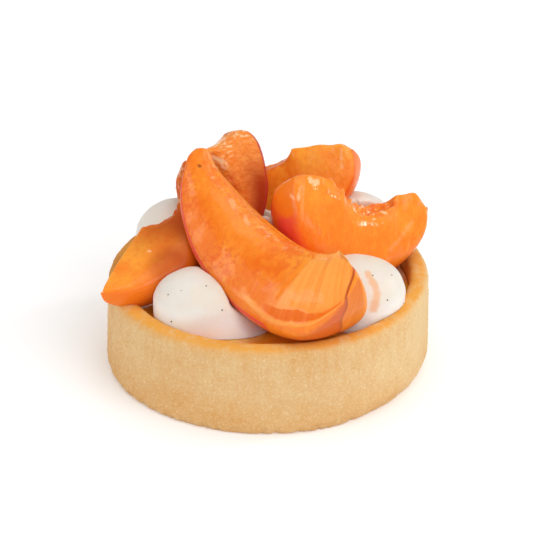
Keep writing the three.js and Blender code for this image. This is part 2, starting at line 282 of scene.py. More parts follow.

# %% [markdown]
# ## The apricot wedge
#
# A wedge is cut from pole to pole, like a segment of an orange. In every section across
# its length it is a sector of a ring: the outer arc is skin, the two straight sides are
# cut flesh, and the short inner arc is where the stone lay. So one formula gives all
# five: a section with rounded corners, whose inner and outer radius change on the way.
# The same numbers as in the frame's plain wedges keep them in place.
#
# All lengths are in mm and all angles in degrees. A pair belongs to the two poles, the
# start and the end. A station along the wedge goes from -1 at its start to 1 at its end.
#
# - start, end and turn place it, and radius, angle, belly, sag and hook shape it.
# - pit, pit_centre and pit_half are the hollow of the stone.
# - blunt, stub, core_stub, dimple and cap shape the two ends.
# - edges says how crisp its corners are, at the stone and at the skin; pillow, stretch
#   and nudges swell and pull it; ripple, torn and crinkle make it uneven, and fold is
#   the station of a crease across it.
# - rind, peel, seam and blush are the skin, and ripe and dots the colour of the flesh.
# - the deep part (stations and shares between which it fades in, and how much) is darker
#   and redder: partly the flesh's own colour, partly painted shade where the wedge lies in shade.
# - glaze says how deep the glaze's bumps are; the glint amount and the shine strokes are
#   painted glints and painted highlights in the colour. Of the blush spots, the one on the
#   front wedge is painted shade; the shadow patches are painted shadow, and marks are local
#   colours.
# - stem_cap is where the skin begins at the stem end, and fan_from is the point from
#   which the fibres fan out there.

# %% Wedge sizes
WEDGES = {
    "wedge_front": dict(
        start=(-13.9, 6.7, 49.1), end=(18.8, -30.3, 39.7), turn=-8.3,
        radius=24.4, angle=54.4, belly=0.29, sag=0.8, hook=(0.0, 1.7),
        pit=6.7, pit_centre=-0.09, pit_half=0.85, blunt=(2.5, 3.47),
        stub=(3.2, 2.3), core_stub=(1.2, 2.3), dimple=(0.6, 3.5), cap=(1.8, 2.9),
        edges=(2.4, 6.0), pillow=(0.8, 0.5), stretch=(1.0, 0.0), ripple=0.35, torn=0.15,
        fold=0.57,
        rind=(1.0, 0.5), peel=(1.0, 0.25), seam=(1.0, 0.1, 0.5), blush=(0.75, 0.05), ripe=0.75,
        painted_glint_amount=0.3, glaze=(0.16, 0.02), dots=0.85, seed=3,
        deep=(-0.9, -0.2, 0.8, 0.97, 0.35),
        stem_cap=((0.981, -0.092, -0.173), 13.97),
        fan_from=(17.5, -14.4, 57.3),
        nudges=[
            ((-16.8, 6.8, 45.2), (-0.8, 0.0, 0.0), 2.6),
            ((-18.9, 2.4, 39.0), (0.5, 0.0, 0.0), 5.0),
            ((-12.9, 7.4, 45.6), (0.9, 0.0, 0.2), 2.2),
        ],
        painted_shines=[
            ((-7.7, -3.7, 39.5), (-7.2, -5.5, 38.7), 0.5, 0.45),
            ((-4.9, -7.5, 37.8), (-4.2, -9.6, 37.0), 0.3, 0.45),
        ],
        # This blush at the bottom edge is painted shade, where the skin there lies in shade.
        blush_and_shade_spots=[((9.2, -34.6, 23.2), 9.0, 1.0)],
        marks=[
            ((14.8, -27.2, 39.9), (17.2, -30.7, 38.9), 0.5, 0.9),
            ((-14.3, 3.1, 43.9), (-13.9, 2.7, 44.2), 0.24, 1.0),
        ]),
    "wedge_left": dict(
        start=(-36.7, -13.5, 24.2), end=(-20.0, 18.6, 36.5), turn=-65.8,
        radius=18.0, angle=51.9, belly=0.21, sag=0.6, hook=(-0.3, 3.5),
        pit=4.5, pit_centre=0.47, pit_half=0.47, blunt=(2.2, 2.23),
        stub=(1.2, 4.2), dimple=(-0.7, 0.2), cap=(1.2, 2.2),
        edges=(5.0, 3.0), pillow=(0.3, 0.2), stretch=(1.2, 2.4), ripple=0.3, torn=1.2,
        rind=(0.1, 0.1), peel=(0.8, 0.6), seam=(0.0, 0.0, 0.2), blush=(-0.5, -0.5), ripe=0.45,
        painted_glint_amount=0.5, glaze=(0.12, 0.02), dots=0.1, seed=5,
        deep=(-0.6, 0.15, -1.6, -0.6, 0.75),
        nudges=[
            ((-18.3, 16.5, 34.3), (-2.1, 0.0, 0.2), 4.8),
            ((-19.4, 8.6, 32.3), (1.2, 0.0, -0.4), 2.4),
            ((-29.0, -13.0, 19.8), (0.0, 0.0, -1.0), 6.5),
            ((-33.8, -14.6, 20.2), (-1.3, -0.3, -0.3), 2.4),
        ],
        painted_shines=[
            ((-24.3, -2.4, 29.8), (-24.1, -2.9, 29.7), 0.22, 1.0),
            ((-25.6, -6.2, 28.4), (-25.2, -6.6, 28.3), 0.2, 1.0),
        ],
        # This darker patch is a painted shadow, where the front wedge shades the face.
        painted_shadows=[((-20.8, -10.8, 27.5), 6.5, 0.5)]),
    "wedge_right": dict(
        start=(6.6, -2.1, 46.7), end=(36.1, 12.6, 31.7), turn=2.1,
        radius=22.4, angle=65.3, belly=-0.06, sag=-0.2, hook=(0.6, 0.8),
        pit=5.2, pit_centre=0.08, pit_half=0.4, blunt=(2.7, 2.1),
        stub=(1.4, 1.6), dimple=(0.5, 0.4), cap=(2.2, 1.2),
        edges=(3.5, 2.7), pillow=(0.6, 0.3), ripple=0.6, torn=2.0,
        rind=(0.2, 0.2), peel=(0.35, 1.8), seam=(0.0, 0.0, 0.2), blush=(-0.1, 0.1), ripe=0.9,
        painted_glint_amount=1.0, glaze=(0.25, 0.03), dots=0.15, seed=8,
        deep=(-1.0, 0.2, 0.2, 1.0, 0.25),
        nudges=[
            ((2.4, 0.4, 39.5), (-0.9, 0.0, 0.4), 4.5),
            ((15.2, 2.1, 41.6), (0.2, 0.0, -2.2), 2.3),
            ((13.6, 2.0, 42.4), (0.0, 0.0, 1.1), 1.1),
            ((35.7, 11.9, 30.1), (-0.6, 0.0, 0.0), 5.0),
            ((32.0, 10.4, 33.0), (0.3, 0.0, 1.7), 2.8),
        ],
        painted_shines=[
            ((9.3, -1.7, 43.6), (10.5, -1.3, 42.9), 0.5, 1.1),
            ((4.7, -4.1, 41.5), (5.6, -5.5, 41.0), 0.16, 0.8),
            ((6.9, -3.8, 43.3), (6.4, -5.9, 41.0), 0.18, 0.8),
            ((31.5, 6.5, 29.7), (26.6, -0.4, 26.2), 0.5, 0.25),
        ],
        blush_and_shade_spots=[
            ((5.6, -8.4, 34.6), 7.0, 1.0),
            ((1.2, 0.0, 33.5), 8.0, 0.7),
        ]),
    "wedge_back_right": dict(
        start=(-15.6, 26.7, 32.4), end=(16.9, 19.3, 42.7), turn=-0.3,
        radius=16.6, angle=58.7, belly=0.34, sag=-0.9, hook=(-1.8, 0.6),
        pit=3.4, pit_centre=-0.28, pit_half=0.56, blunt=(2.28, 2.0),
        stub=(0.7, 2.2), dimple=(1.1, 2.4), cap=(2.0, 1.2),
        edges=(5.0, 4.0), pillow=(0.3, 0.3), ripple=0.6, torn=0.3,
        crinkle=(-1.2, 0.5),
        rind=(0.2, 0.2), peel=(1.0, 0.4), seam=(0.3, 0.3, 0.2), blush=(0.05, 0.1), ripe=0.4,
        painted_glint_amount=0.3, glaze=(0.2, 0.03), dots=0.1, seed=11,
        deep=(0.3, -0.9, -1.6, -0.6, 0.45),
        nudges=[
            ((15.9, 19.0, 41.2), (0.0, 0.0, 1.3), 1.8),
            ((11.0, 19.6, 40.0), (0.0, 0.0, 0.8), 3.5),
            ((6.0, 20.3, 38.6), (-0.4, 0.0, 0.7), 2.0),
            ((18.6, 17.5, 40.0), (0.0, 0.0, -0.3), 1.5),
        ],
        painted_shines=[((15.9, 17.9, 40.6), (16.1, 16.3, 37.8), 0.22, 0.6)]),
    "wedge_upright": dict(
        start=(-14.8, 18.9, 43.7), end=(-11.2, -7.2, 20.9), turn=56.1,
        radius=17.0, angle=61.1, belly=-0.32, sag=-3.2, hook=(-2.8, 1.5),
        pit=8.6, pit_centre=-0.01, pit_half=0.74, blunt=(2.0, 1.74),
        stub=(4.0, 1.3), dimple=(3.2, 3.0), cap=(1.3, 1.4),
        edges=(3.0, 5.0), pillow=(0.6, 0.4), stretch=(0.2, 0.0), ripple=0.35, torn=0.5,
        crinkle=(1.0, 0.1),
        rind=(0.5, 0.5), peel=(1.0, 0.25), seam=(1.0, 0.75, 0.2), blush=(0.8, 0.9), ripe=0.85,
        painted_glint_amount=0.5, glaze=(0.15, 0.04), dots=0.1, seed=14,
        deep=(-0.95, -0.25, -1.3, 0.5, 1.0),
        nudges=[
            ((-13.3, 17.5, 39.9), (-1.5, 0.0, 0.5), 2.5),
            ((-0.3, 17.0, 37.8), (-0.8, 0.0, 0.0), 7.0),
        ],
        painted_shines=[
            ((-12.0, 16.6, 39.6), (-10.0, 15.4, 39.2), 0.5, 1.1),
            ((-10.8, 15.7, 40.6), (-9.2, 15.0, 39.2), 0.4, 1.0),
            ((-9.9, 15.5, 38.3), (-8.5, 14.8, 37.8), 0.3, 0.9),
        ]),
}
PLAIN_WEDGE = dict(
    stretch=(0.0, 0.0), crinkle=(0.0, 0.0), fold=None, stem_cap=None, fan_from=None,
    blush_and_shade_spots=[], painted_shadows=[], marks=[])
for wedge in WEDGES.values():
    for key, usual in PLAIN_WEDGE.items():
        wedge.setdefault(key, usual)
LENS_AT, LENS_SIZE = (0.73, 0.50), (0.25, 0.12)  # the dark patch past the fold
CORE_RADIUS = 0.8  # the blunt inner edge, where both cuts meet
PIT_ROUNDNESS = 0.6
LARGEST_INNER = 0.6  # how much the inner radius may grow, as a share of the outer one's growth
SMALLEST_END = 0.0004  # the square of how small the last section may become
RELAXING = 0.6
SECTIONS = 190
SECTION_POINTS = 200
print("wedges:", len(WEDGES), "with", SECTIONS, "sections of", SECTION_POINTS, "points")

# %% Wedge formula
def wedge_axes(wedge):
    """The wedge's middle, half length, and its along, down and side directions."""
    start, end = np.array(wedge["start"]), np.array(wedge["end"])
    along = end - start
    half = np.linalg.norm(along) / 2
    along = along / (2 * half)
    down = np.array((0, 0, -1.0)) + along * along[2]
    down /= np.linalg.norm(down)
    return (start + end) / 2, half, along, down, np.cross(along, down)

def wedge_radii(wedge, s):
    """Inner and outer radius at station s, from -1 at one pole to 1 at the other."""
    from_belly = (s - wedge["belly"]) / (1 - wedge["belly"] * s)
    blunt = np.where(from_belly < 0, *wedge["blunt"])
    stub = np.where(from_belly < 0, *wedge["stub"])
    fullness = np.maximum(0, 1 - np.abs(from_belly) ** blunt) ** (1 / blunt)
    outer = stub + (wedge["radius"] - stub) * fullness
    in_pit = (s - wedge["pit_centre"]) / wedge["pit_half"]
    hollow = wedge["pit"] * np.maximum(0, 1 - in_pit * in_pit) ** PIT_ROUNDNESS
    core_stub = np.where(from_belly < 0, *wedge.get("core_stub", wedge["stub"]))
    inner = CORE_RADIUS + hollow + core_stub * np.abs(s) ** 5
    return np.minimum(inner, stub + LARGEST_INNER * (outer - stub)), outer, hollow

def end_rounding(wedge, half, s):
    """How far each section shrinks towards its centre, so that both ends are rounded off."""
    cap = np.where(s < 0, *wedge["cap"]) / half
    into_cap = np.maximum(0, (np.abs(s) - 1 + cap) / cap)
    return np.sqrt(np.maximum(SMALLEST_END, 1 - into_cap ** 2))

def section_outline(count, edges):
    """Points round a square with rounded corners: across the wedge, and outwards from its core.

    edges holds how crisp the corners are, on the side of the stone and on the side of the skin.
    """
    walk = np.arange(count) / count * 8
    side = (walk // 2).astype(int)
    slide = walk % 2 - 1
    across = np.choose(side, [np.ones(count), -slide, -np.ones(count), slide])
    outward = np.choose(side, [slide, np.ones(count), -slide, -np.ones(count)])
    crisp = np.where(outward < 0, *edges)
    size = (np.abs(across) ** crisp + np.abs(outward) ** crisp) ** (-1 / crisp)
    return across * size, outward * size

def grid_faces(rows, count):
    """Quads of a tube of rows rings, closed by one point at each end."""
    row, column = np.meshgrid(np.arange(rows - 1), np.arange(count), indexing="ij")
    here = 1 + row * count + column
    beside = 1 + row * count + (column + 1) % count
    quads = np.stack([here, beside, beside + count, here + count], axis=-1).reshape(-1, 4).tolist()
    last = 1 + rows * count
    caps = [[0, 1 + (j + 1) % count, 1 + j] for j in range(count)]
    caps += [[last - count + j, last - count + (j + 1) % count, last] for j in range(count)]
    return quads + caps

for wedge_name, wedge in WEDGES.items():
    print(wedge_name, "length in mm:", round(2 * wedge_axes(wedge)[1], 1))

# %% [markdown]
# ## What happens on the wedge's surface
#
# A perfect sector looks like plastic. A real cut face is slightly pillowed and rippled by
# the knife, fibres run from the stone to the skin, and the hollow of the stone is torn
# and rough. The glaze over it all is smooth and gathers in soft lumps. Each effect is a
# small push along the surface normal, weighted by where it belongs.

# %% Round off the ends
def round_off(place, share, rounds=50):
    """Relaxes the rings near both poles, so that no thin point stands off an end."""
    for _ in range(rounds):
        ends = [place[0].mean(axis=0), place[-1].mean(axis=0)]
        before = np.concatenate([np.broadcast_to(ends[0], place[:1].shape), place[:-1]])
        after = np.concatenate([place[1:], np.broadcast_to(ends[1], place[:1].shape)])
        beside = np.roll(place, 1, axis=1) + np.roll(place, -1, axis=1)
        place = place + RELAXING * share[:, None, None] * ((before + after + beside) / 4 - place)
    return place

# %% Nudges
def nudged(points, nudges):
    """Moves the points round each centre by its push in mm, which fades out over a radius."""
    moved = points.copy()
    for centre, push, radius in nudges:
        near = np.exp(-((points - np.array(centre)) ** 2).sum(axis=-1) / radius ** 2)
        moved += near[..., None] * np.array(push)
    return moved

# %% Fibres that fan out from the stem end
def fan_angle(place, source, along, normal):
    """The direction of each point from the source of the fibres, in radians round the face."""
    away = place - source
    beside = np.cross(normal, along)
    beside /= np.linalg.norm(beside, axis=2, keepdims=True)
    return np.arctan2((away * beside).sum(axis=2), -(away @ along))

# %% Scars and blushes
def near_marks(points, marks):
    """How much of a mark lies on each point.

    A mark is a short stroke with two ends, a width and an amount.
    """
    strength = np.zeros(len(points))
    for start, end, width, amount in marks:
        start, way = np.array(start), np.array(end) - np.array(start)
        share = np.clip((points - start) @ way / (way @ way), 0, 1)
        gap = np.linalg.norm(points - start - share[:, None] * way, axis=1)
        near = smooth_step(1.9 * width, 0.7 * width, gap + 0.3 * soft_noise(points, 0.8, 31))
        strength = np.maximum(strength, amount * near)
    return strength

def near_spots(points, blush_and_shade_spots):
    """The extra blush or painted shade round the given centres, which fades out at each spot's
    radius.
    """
    strength = np.zeros(len(points))
    for centre, radius, amount in blush_and_shade_spots:
        away = np.linalg.norm(points - np.array(centre), axis=1) / radius
        strength = strength + amount * smooth_step(1.0, 0.35, away)
    return strength

# %% Pillow and fold
def pillow(wedge, outward, width, s):
    """How far a cut face swells in its middle, and rolls over towards the skin."""
    swell, roll = wedge["pillow"]
    rolling = (1 - np.maximum(0, outward) ** 8) * (1 + outward) / 2
    shape = swell * (1 - outward ** 2) + roll * rolling
    return shape[None, :] * (width / 17.0 * (1 - s ** 4))[:, None]

def fold_shape(past, outward):
    """A crease across the cut face, past which the face turns a little towards the pole."""
    fading = smooth_step(0.45, 0.1, outward)
    groove = -0.22 * np.exp(-(past / 0.3) ** 2) + 0.16 * np.exp(-((past + 0.8) / 0.5) ** 2)
    return fading * (groove - 0.06 * np.maximum(0, past))

# %% The bare sector
def grid_normals(place):
    """The normal at each point of the grid, from its slopes along and round the wedge."""
    slope_along = np.gradient(place, axis=0)
    slope_round = np.roll(place, -1, axis=1) - np.roll(place, 1, axis=1)
    normal = np.cross(slope_along, slope_round)
    return normal / np.linalg.norm(normal, axis=2, keepdims=True)

def bare_sector(wedge):
    """The wedge's grid of points without surface detail, with the numbers that made it."""
    middle, half, along, down, side = wedge_axes(wedge)
    turn, opening = math.radians(wedge["turn"]), math.radians(wedge["angle"]) / 2
    belly_way = down * math.cos(turn) + side * math.sin(turn)
    s = np.sin(np.pi / 2 * np.linspace(-1, 1, SECTIONS + 2))[1:-1]
    inner, outer, hollow = wedge_radii(wedge, s)
    across, outward = section_outline(SECTION_POINTS, wedge["edges"])
    reach = inner[:, None] + (outer - inner)[:, None] * (outward + 1)[None, :] / 2
    theta = turn + opening * across[None, :] + 0 * reach
    dimple = np.where(s < 0, -wedge["dimple"][0], wedge["dimple"][1])[:, None]
    bulge = dimple * np.minimum(1, reach / (0.45 * wedge["radius"])) * (s ** 4)[:, None]
    place = middle + (half * s[:, None] + bulge)[..., None] * along
    bow = wedge["sag"] * (1 - s * s) - np.where(s < 0, *wedge["hook"]) * np.abs(s) ** 3
    place = place + bow[:, None, None] * belly_way
    place = place + (reach * np.cos(theta))[..., None] * down
    place = place + (reach * np.sin(theta))[..., None] * side
    centre = place.mean(axis=1, keepdims=True)
    place = centre + (place - centre) * end_rounding(wedge, half, s)[:, None, None]
    return SimpleNamespace(
        middle=middle, half=half, along=along, opening=opening, s=s, inner=inner, outer=outer,
        hollow=hollow, across=across, outward=outward, reach=reach, place=place,
        station=half * s[:, None] + 0 * reach)

# %% Skin, flesh and torn hollow
STEM_CAP_WAVE = (0.25, 0.9)  # how high and how dense the waves of the skin's edge are at the stem

def skin_and_stone(wedge, form):
    """The depth below the skin in mm, and how much of each point is skin and torn hollow."""
    # The skin begins at the shoulder, where the rounded edge turns from the cut outwards.
    shoulder = 0.5 ** (1 / wedge["edges"][1])
    first_rind, last_rind = wedge["rind"]
    rind = first_rind + (last_rind - first_rind) * smooth_step(-0.2, 0.3, form.s)
    width = (form.outer - form.inner)[:, None]
    depth = (shoulder - form.outward)[None, :] / 2 * width - rind[:, None]
    if wedge["stem_cap"] is not None:
        cap_way, cap_reach = wedge["stem_cap"]
        wave_height, wave_density = STEM_CAP_WAVE
        waves = wave_height * np.sin(form.place[..., 2] * wave_density)
        cap_depth = cap_reach - form.place @ np.array(cap_way) + waves
        capped = smooth_step(0.55, 0.85, form.s)[:, None]
        depth = depth + capped * (cap_depth - depth)
    above_core = (1 + form.outward)[None, :] / 2 * width
    in_hollow = smooth_step(0.2, 2.0, form.hollow) * smooth_step(0.95, 0.80, np.abs(form.s))
    stone = smooth_step(1.6, 0.3, above_core) * in_hollow[:, None]
    return depth, smooth_step(0.5, -0.1, depth), stone

# %% Ripples, fibres and torn flesh
FIBRES = (0.7, 5.0, 9)  # length and thickness in mm, and how many lie across half the wedge
TORN_LUMPS = (1.1, 3.0, 4)

def drawn_out(form, inwards, sizes, seed):
    """Noise whose lumps are drawn out along the wedge or from the stone to the skin."""
    length, thickness, count = sizes
    beside = form.across[None, :] * count + 0 * inwards
    space = np.stack([form.station / length, inwards / thickness, beside], axis=-1)
    return soft_noise(space.reshape(-1, 3), 1.0, seed).reshape(inwards.shape)

def surface_push(wedge, form, depth, skin, stone):
    """How far each point moves out along its normal, in mm."""
    flat, seed = form.place.reshape(-1, 3), wedge["seed"]
    def lumps(size, extra):
        return soft_noise(flat, size, seed + extra).reshape(depth.shape)
    face = (1 - skin) * (1 - stone)
    fibres = drawn_out(form, depth, FIBRES, seed + 5)
    torn = drawn_out(form, form.reach, TORN_LUMPS, seed + 6)
    push = wedge["ripple"] * (0.28 * lumps(7.0, 0) + 0.10 * lumps(2.6, 1))
    push = push + wedge["ripple"] * face * (0.07 * fibres + 0.05 * lumps(1.0, 2))
    on_cut = (np.abs(form.across) > 0.6)[None, :]
    push = push + pillow(wedge, form.outward, form.outer - form.inner, form.s) * on_cut
    if wedge["fold"] is not None:
        past = form.station - form.half * wedge["fold"]
        push = push + face * fold_shape(past, form.outward[None, :])
    rough = 0.35 * torn + 0.28 * lumps(1.3, 3) + 0.12 * lumps(0.6, 4)
    push = push + stone * wedge["torn"] * rough
    return push * smooth_step(0.0, 0.06, 1 - np.abs(form.s))[:, None]

# %% Values that the colours need
NO_FOLD = 2.0  # a station past the far pole, for the wedges without a fold

def between(ends, s):
    """A value that goes evenly from the first pole's to the last pole's."""
    return ends[0] + (ends[1] - ends[0]) * (s[:, None] + 1) / 2

def paint_values(wedge, form, depth, stone, place, normal):
    """The numbers that the material reads at each point, by name."""
    flat, s, outward = form.place.reshape(-1, 3), form.s, form.outward
    def near(measure, places):
        return measure(flat, places).reshape(depth.shape)
    # The deep part is darker and redder: partly the flesh's own colour, partly painted shade; the
    # shadow patches add painted shadow.
    s0, s1, t0, t1, amount = wedge["deep"]
    deep = amount * smooth_step(s0, s1, s)[:, None] * smooth_step(t0, t1, outward)[None, :]
    deep = np.minimum(1, deep + near(near_spots, wedge["painted_shadows"]))
    folded = wedge["fold"] is not None
    lens = np.hypot((s[:, None] - LENS_AT[0]) / LENS_SIZE[0],
                    (outward[None, :] - LENS_AT[1]) / LENS_SIZE[1])
    # The band round the lens is a painted highlight.
    band = smooth_step(0.5, 0.15, np.abs(lens - 1.6)) * (outward > LENS_AT[1])[None, :] * folded
    source = wedge["fan_from"]
    if source is None:
        source = form.middle + (form.half + 1.5) * form.along
    values = {
        "deep": deep,
        "lens": smooth_step(1.5, 0.5, lens) * folded,
        "band": band,
        "outward": outward[None, :],
        "scar": near(near_marks, wedge["marks"]),
        # The shine strokes are painted highlights.
        "shine": near(near_marks, wedge["painted_shines"]),
        "depth": depth,
        "stone": stone,
        "station": form.station,
        "across": form.across[None, :] * form.opening * form.reach,
        "reach": form.reach / wedge["radius"],
        "crinkle": np.maximum(0, between(wedge["crinkle"], s)) * (1 - deep),
        "past_fold": form.station - form.half * (wedge["fold"] or NO_FOLD),
        "fan": fan_angle(place, np.array(source), form.along, normal),
        # The blush spots are red skin, and on the front wedge painted shade.
        "blush": between(wedge["blush"], s) + near(near_spots, wedge["blush_and_shade_spots"]),
    }
    return {key: with_tips(np.broadcast_to(value, depth.shape)) for key, value in values.items()}

def with_tips(values):
    """Adds one value in front and one behind, for the point that closes each end."""
    return np.concatenate([[values[0].mean()], values.ravel(), [values[-1].mean()]])

# %% Build one wedge
def build_wedge(name, wedge):
    form = bare_sector(wedge)
    normal = grid_normals(form.place)
    depth, skin, stone = skin_and_stone(wedge, form)
    push = surface_push(wedge, form, depth, skin, stone)
    place = form.place + push[..., None] * normal
    for sign, stretch in zip((-1, 1), wedge["stretch"]):
        pull = sign * stretch * smooth_step(0.6, 0.95, sign * form.s)
        place = place + pull[:, None, None] * form.along
    place = nudged(round_off(place, smooth_step(0.80, 0.97, np.abs(form.s))), wedge["nudges"])
    tips = [place[0].mean(axis=0), place[-1].mean(axis=0)]
    points = np.concatenate([tips[0][None], place.reshape(-1, 3), tips[1][None]])
    faces = [face[::-1] for face in grid_faces(SECTIONS, SECTION_POINTS)]
    values = paint_values(wedge, form, depth, stone, place, normal)
    return make_piece(name + "_fruit", points, faces, values)

print("wedge functions ready")

# %% [markdown]
# ## Apricot flesh and skin
#
# Light goes a few millimetres into ripe flesh, so the shader scatters it below the
# surface. Its colour turns from yellow at the stone to deep orange under the skin, and
# the skin itself is a thin red line wherever a cut crosses it. The glaze is a clear
# coat with soft lumps of its own, which break up what it mirrors.
# Some glints, highlights, light and shade are painted into the colour as well.

# %% Apricot colours
FLESH_YELLOW = (0.96, 0.38, 0.035)
PAINTED_PALE_LIGHT = (1.0, 0.42, 0.09)
FLESH_ORANGE = (0.92, 0.22, 0.014)
FLESH_DEEP = (0.80, 0.125, 0.007)
SKIN_ORANGE = (0.88, 0.19, 0.012)
SKIN_RED = (0.84, 0.095, 0.06)
SKIN_DARK = (0.26, 0.012, 0.012)
SHADED_FLESH_RED = (0.35, 0.03, 0.003)
FLESH_FLECK = (0.84, 0.15, 0.010)
FLESH_RIM = (0.72, 0.075, 0.010)
PAINTED_GLINT = (1.0, 0.66, 0.38)
STEM_SKIN = (1.0, 0.30, 0.035)
STEM_SEAM = (0.50, 0.09, 0.02)
SCAR_BROWN = (0.34, 0.07, 0.012)
FLESH_SCATTER = (1.0, 0.32, 0.08)  # how far red, green and blue light go, as shares of the scale

# %% Noises and bumps of the apricot
APRICOT_NOISES = {  # lumps per metre, detail, roughness, and what is added to the wedge's seed
    "patches": (160.0, 2.0, 0.5, 0),
    "specks": (900.0, 2.0, 0.6, 1),
    "blotches": (75.0, 3.0, 0.6, 2),
    "glaze_lumps": (480.0, 3.0, 0.55, 3),
    "glaze_ripples": (900.0, 1.0, 0.5, 4),
    "dots": (800.0, 2.0, 0.6, 7),
    "islands": (330.0, 4.0, 0.6, 8),
    "sparkle": (1100.0, 2.0, 0.6, 10),
    "lens": (420.0, 3.0, 0.6, 11),
    "glints": (700.0, 3.0, 0.65, 12),
    "pools": (190.0, 3.0, 0.55, 13),
}
APRICOT_BUMPS = {  # in mm
    "fibres": 0.10, "specks": 0.04, "creases": 0.20, "sparkle": 0.30, "coat_creases": 0.35}
FIBRE_DENSITY = (1.3, 0.16, 0.5)  # lumps per mm, then how dense they are in depth and across
CREASE_DENSITY = (1.3, 0.35)  # lumps per mm along the wedge and in depth
FAN_DENSITY = (18.0, 0.04)  # lumps per radian round the stem end, and per mm along the wedge

print("apricot noises:", len(APRICOT_NOISES))

def apricot_noise(tree, wedge, kind):
    scale, detail, roughness, shift = APRICOT_NOISES[kind]
    return noise(tree, scale, detail, roughness, seed=wedge["seed"] + shift)

def read_surface(tree, wedge):
    """The values and noises that several parts of the material share."""
    names = (
        "depth", "stone", "reach", "station", "across", "past_fold", "outward", "blush", "deep")
    on, seed = SimpleNamespace(**{name: attribute(tree, name) for name in names}), wedge["seed"]
    scale, in_depth, across = FIBRE_DENSITY
    depth = times(tree, on.depth, in_depth)
    place = combine(tree, on.station, depth, times(tree, on.across, across))
    on.fibres = noise(tree, scale, 4.0, 0.6, place, seed)
    on.patches = apricot_noise(tree, wedge, "patches")
    on.specks = apricot_noise(tree, wedge, "specks")
    round_stem, along = FAN_DENSITY
    around = times(tree, attribute(tree, "fan"), round_stem)
    place = combine(tree, around, times(tree, on.station, along), 0.0)
    on.fan = noise(tree, 1.6, 1.5, 0.5, place, seed + 9)
    along, in_depth = CREASE_DENSITY
    station = times(tree, on.station, along)
    place = combine(tree, station, times(tree, on.depth, in_depth), on.across)
    creases = noise(tree, 1.0, 3.0, 0.6, place, seed + 6, 0.6)
    creases = times(tree, ramp(tree, creases, 0.36, 0.66), attribute(tree, "crinkle"))
    on.creases = times(tree, creases, ramp(tree, on.depth, 0.0, 0.8, 0.15, 1.0))
    return on

# %% Flesh
def base_flesh(tree, wedge, on):
    """Yellow near the stone and orange under the skin, with paler fibres and dark specks."""
    near_stone = ramp(tree, on.reach, 0.62, 0.22, 0.0, 1.3 - wedge["ripe"])
    yellow = times(tree, near_stone, ramp(tree, on.patches, 0.30, 0.60))
    yellow = larger(tree, yellow, ramp(tree, on.patches, 0.2, 0.9, 0.0, 1.0 - wedge["ripe"]))
    flesh = tint(tree, FLESH_ORANGE, FLESH_YELLOW, yellow)
    flesh = tint(tree, flesh, FLESH_YELLOW, ramp(tree, on.fibres, 0.42, 0.66), 0.3)
    flesh = tint(tree, flesh, FLESH_DEEP, ramp(tree, on.specks, 0.54, 0.68), 0.3)
    flesh = tint(tree, flesh, SKIN_ORANGE, ramp(tree, on.depth, 2.4, 0.3, 0.0, 0.5))
    return tint(tree, flesh, FLESH_DEEP, on.stone, ramp(tree, on.specks, 0.35, 0.6), 0.6)

def glazed_flesh(tree, wedge, on, flesh):
    """Round the belly the glaze pools in darker dots, and before the fold in larger islands."""
    before_fold = ramp(tree, on.past_fold, -8.0, -16.0, 0.25, 1.0)
    dotted = times(tree, ramp(tree, on.patches, 0.30, 0.48), before_fold)
    dotted = times(tree, dotted, ramp(tree, on.outward, -0.5, 0.0, 0.15, wedge["dots"]))
    dots = ramp(tree, apricot_noise(tree, wedge, "dots"), 0.47, 0.56)
    flesh = tint(tree, flesh, FLESH_FLECK, dots, dotted)
    islands = ramp(tree, apricot_noise(tree, wedge, "islands"), 0.45, 0.57)
    near_fold = ramp(tree, on.past_fold, -13.0, -9.0)
    near_fold = times(tree, near_fold, ramp(tree, on.past_fold, 0.0, -1.5))
    near_fold = times(tree, near_fold, ramp(tree, on.outward, 0.35, 0.05))
    flesh = tint(tree, flesh, FLESH_FLECK, islands, near_fold, 0.7)

    # Halfway between stone and skin it has soaked in: the flesh is darker and mirrors less.
    soaked = times(tree, ramp(tree, on.outward, -0.7, -0.3), ramp(tree, on.outward, 0.7, 0.5))
    soaked = times(tree, soaked, ramp(tree, apricot_noise(tree, wedge, "pools"), 0.44, 0.53))
    soaked = times(tree, soaked, wedge["dots"])
    on.soaked = times(tree, soaked, ramp(tree, on.past_fold, 0.0, -4.0))
    return tint(tree, flesh, FLESH_DEEP, on.soaked, 0.4)

def stem_end_flesh(tree, wedge, on, flesh):
    """Past the fold the flesh is painted paler, as painted light where the face there turns towards
    the light, and its fibres fan out from the stem end.
    """
    lit_past_fold = times(tree, ramp(tree, on.past_fold, 0.0, 0.8), ramp(tree, on.outward, 0.62, 0.15))
    flesh = tint(tree, flesh, PAINTED_PALE_LIGHT, lit_past_fold, 0.65)
    flesh = tint(tree, flesh, FLESH_ORANGE, lit_past_fold, ramp(tree, on.fan, 0.42, 0.64, 0.0, 0.5))

    # The outermost edge of the cut, from the fold on, is red.
    edge = ramp(tree, on.outward, 0.90, 1.0)
    flesh = tint(tree, flesh, FLESH_RIM, edge, ramp(tree, on.past_fold, -4.0, 1.0), 0.55)

    # A darker patch with a ragged edge lies past the fold, and a painted highlight, a pale band,
    # round it.
    ragged = ramp(tree, apricot_noise(tree, wedge, "lens"), 0.2, 0.8, -0.3, 0.3)
    lens = ramp(tree, plus(tree, attribute(tree, "lens"), ragged), 0.30, 0.66)
    on.lens = times(tree, lens, ramp(tree, on.fan, 0.3, 0.6, 0.65, 1.0))
    flesh = tint(tree, flesh, FLESH_DEEP, on.lens, 0.8)
    return tint(tree, flesh, PAINTED_PALE_LIGHT, attribute(tree, "band"), 0.65)

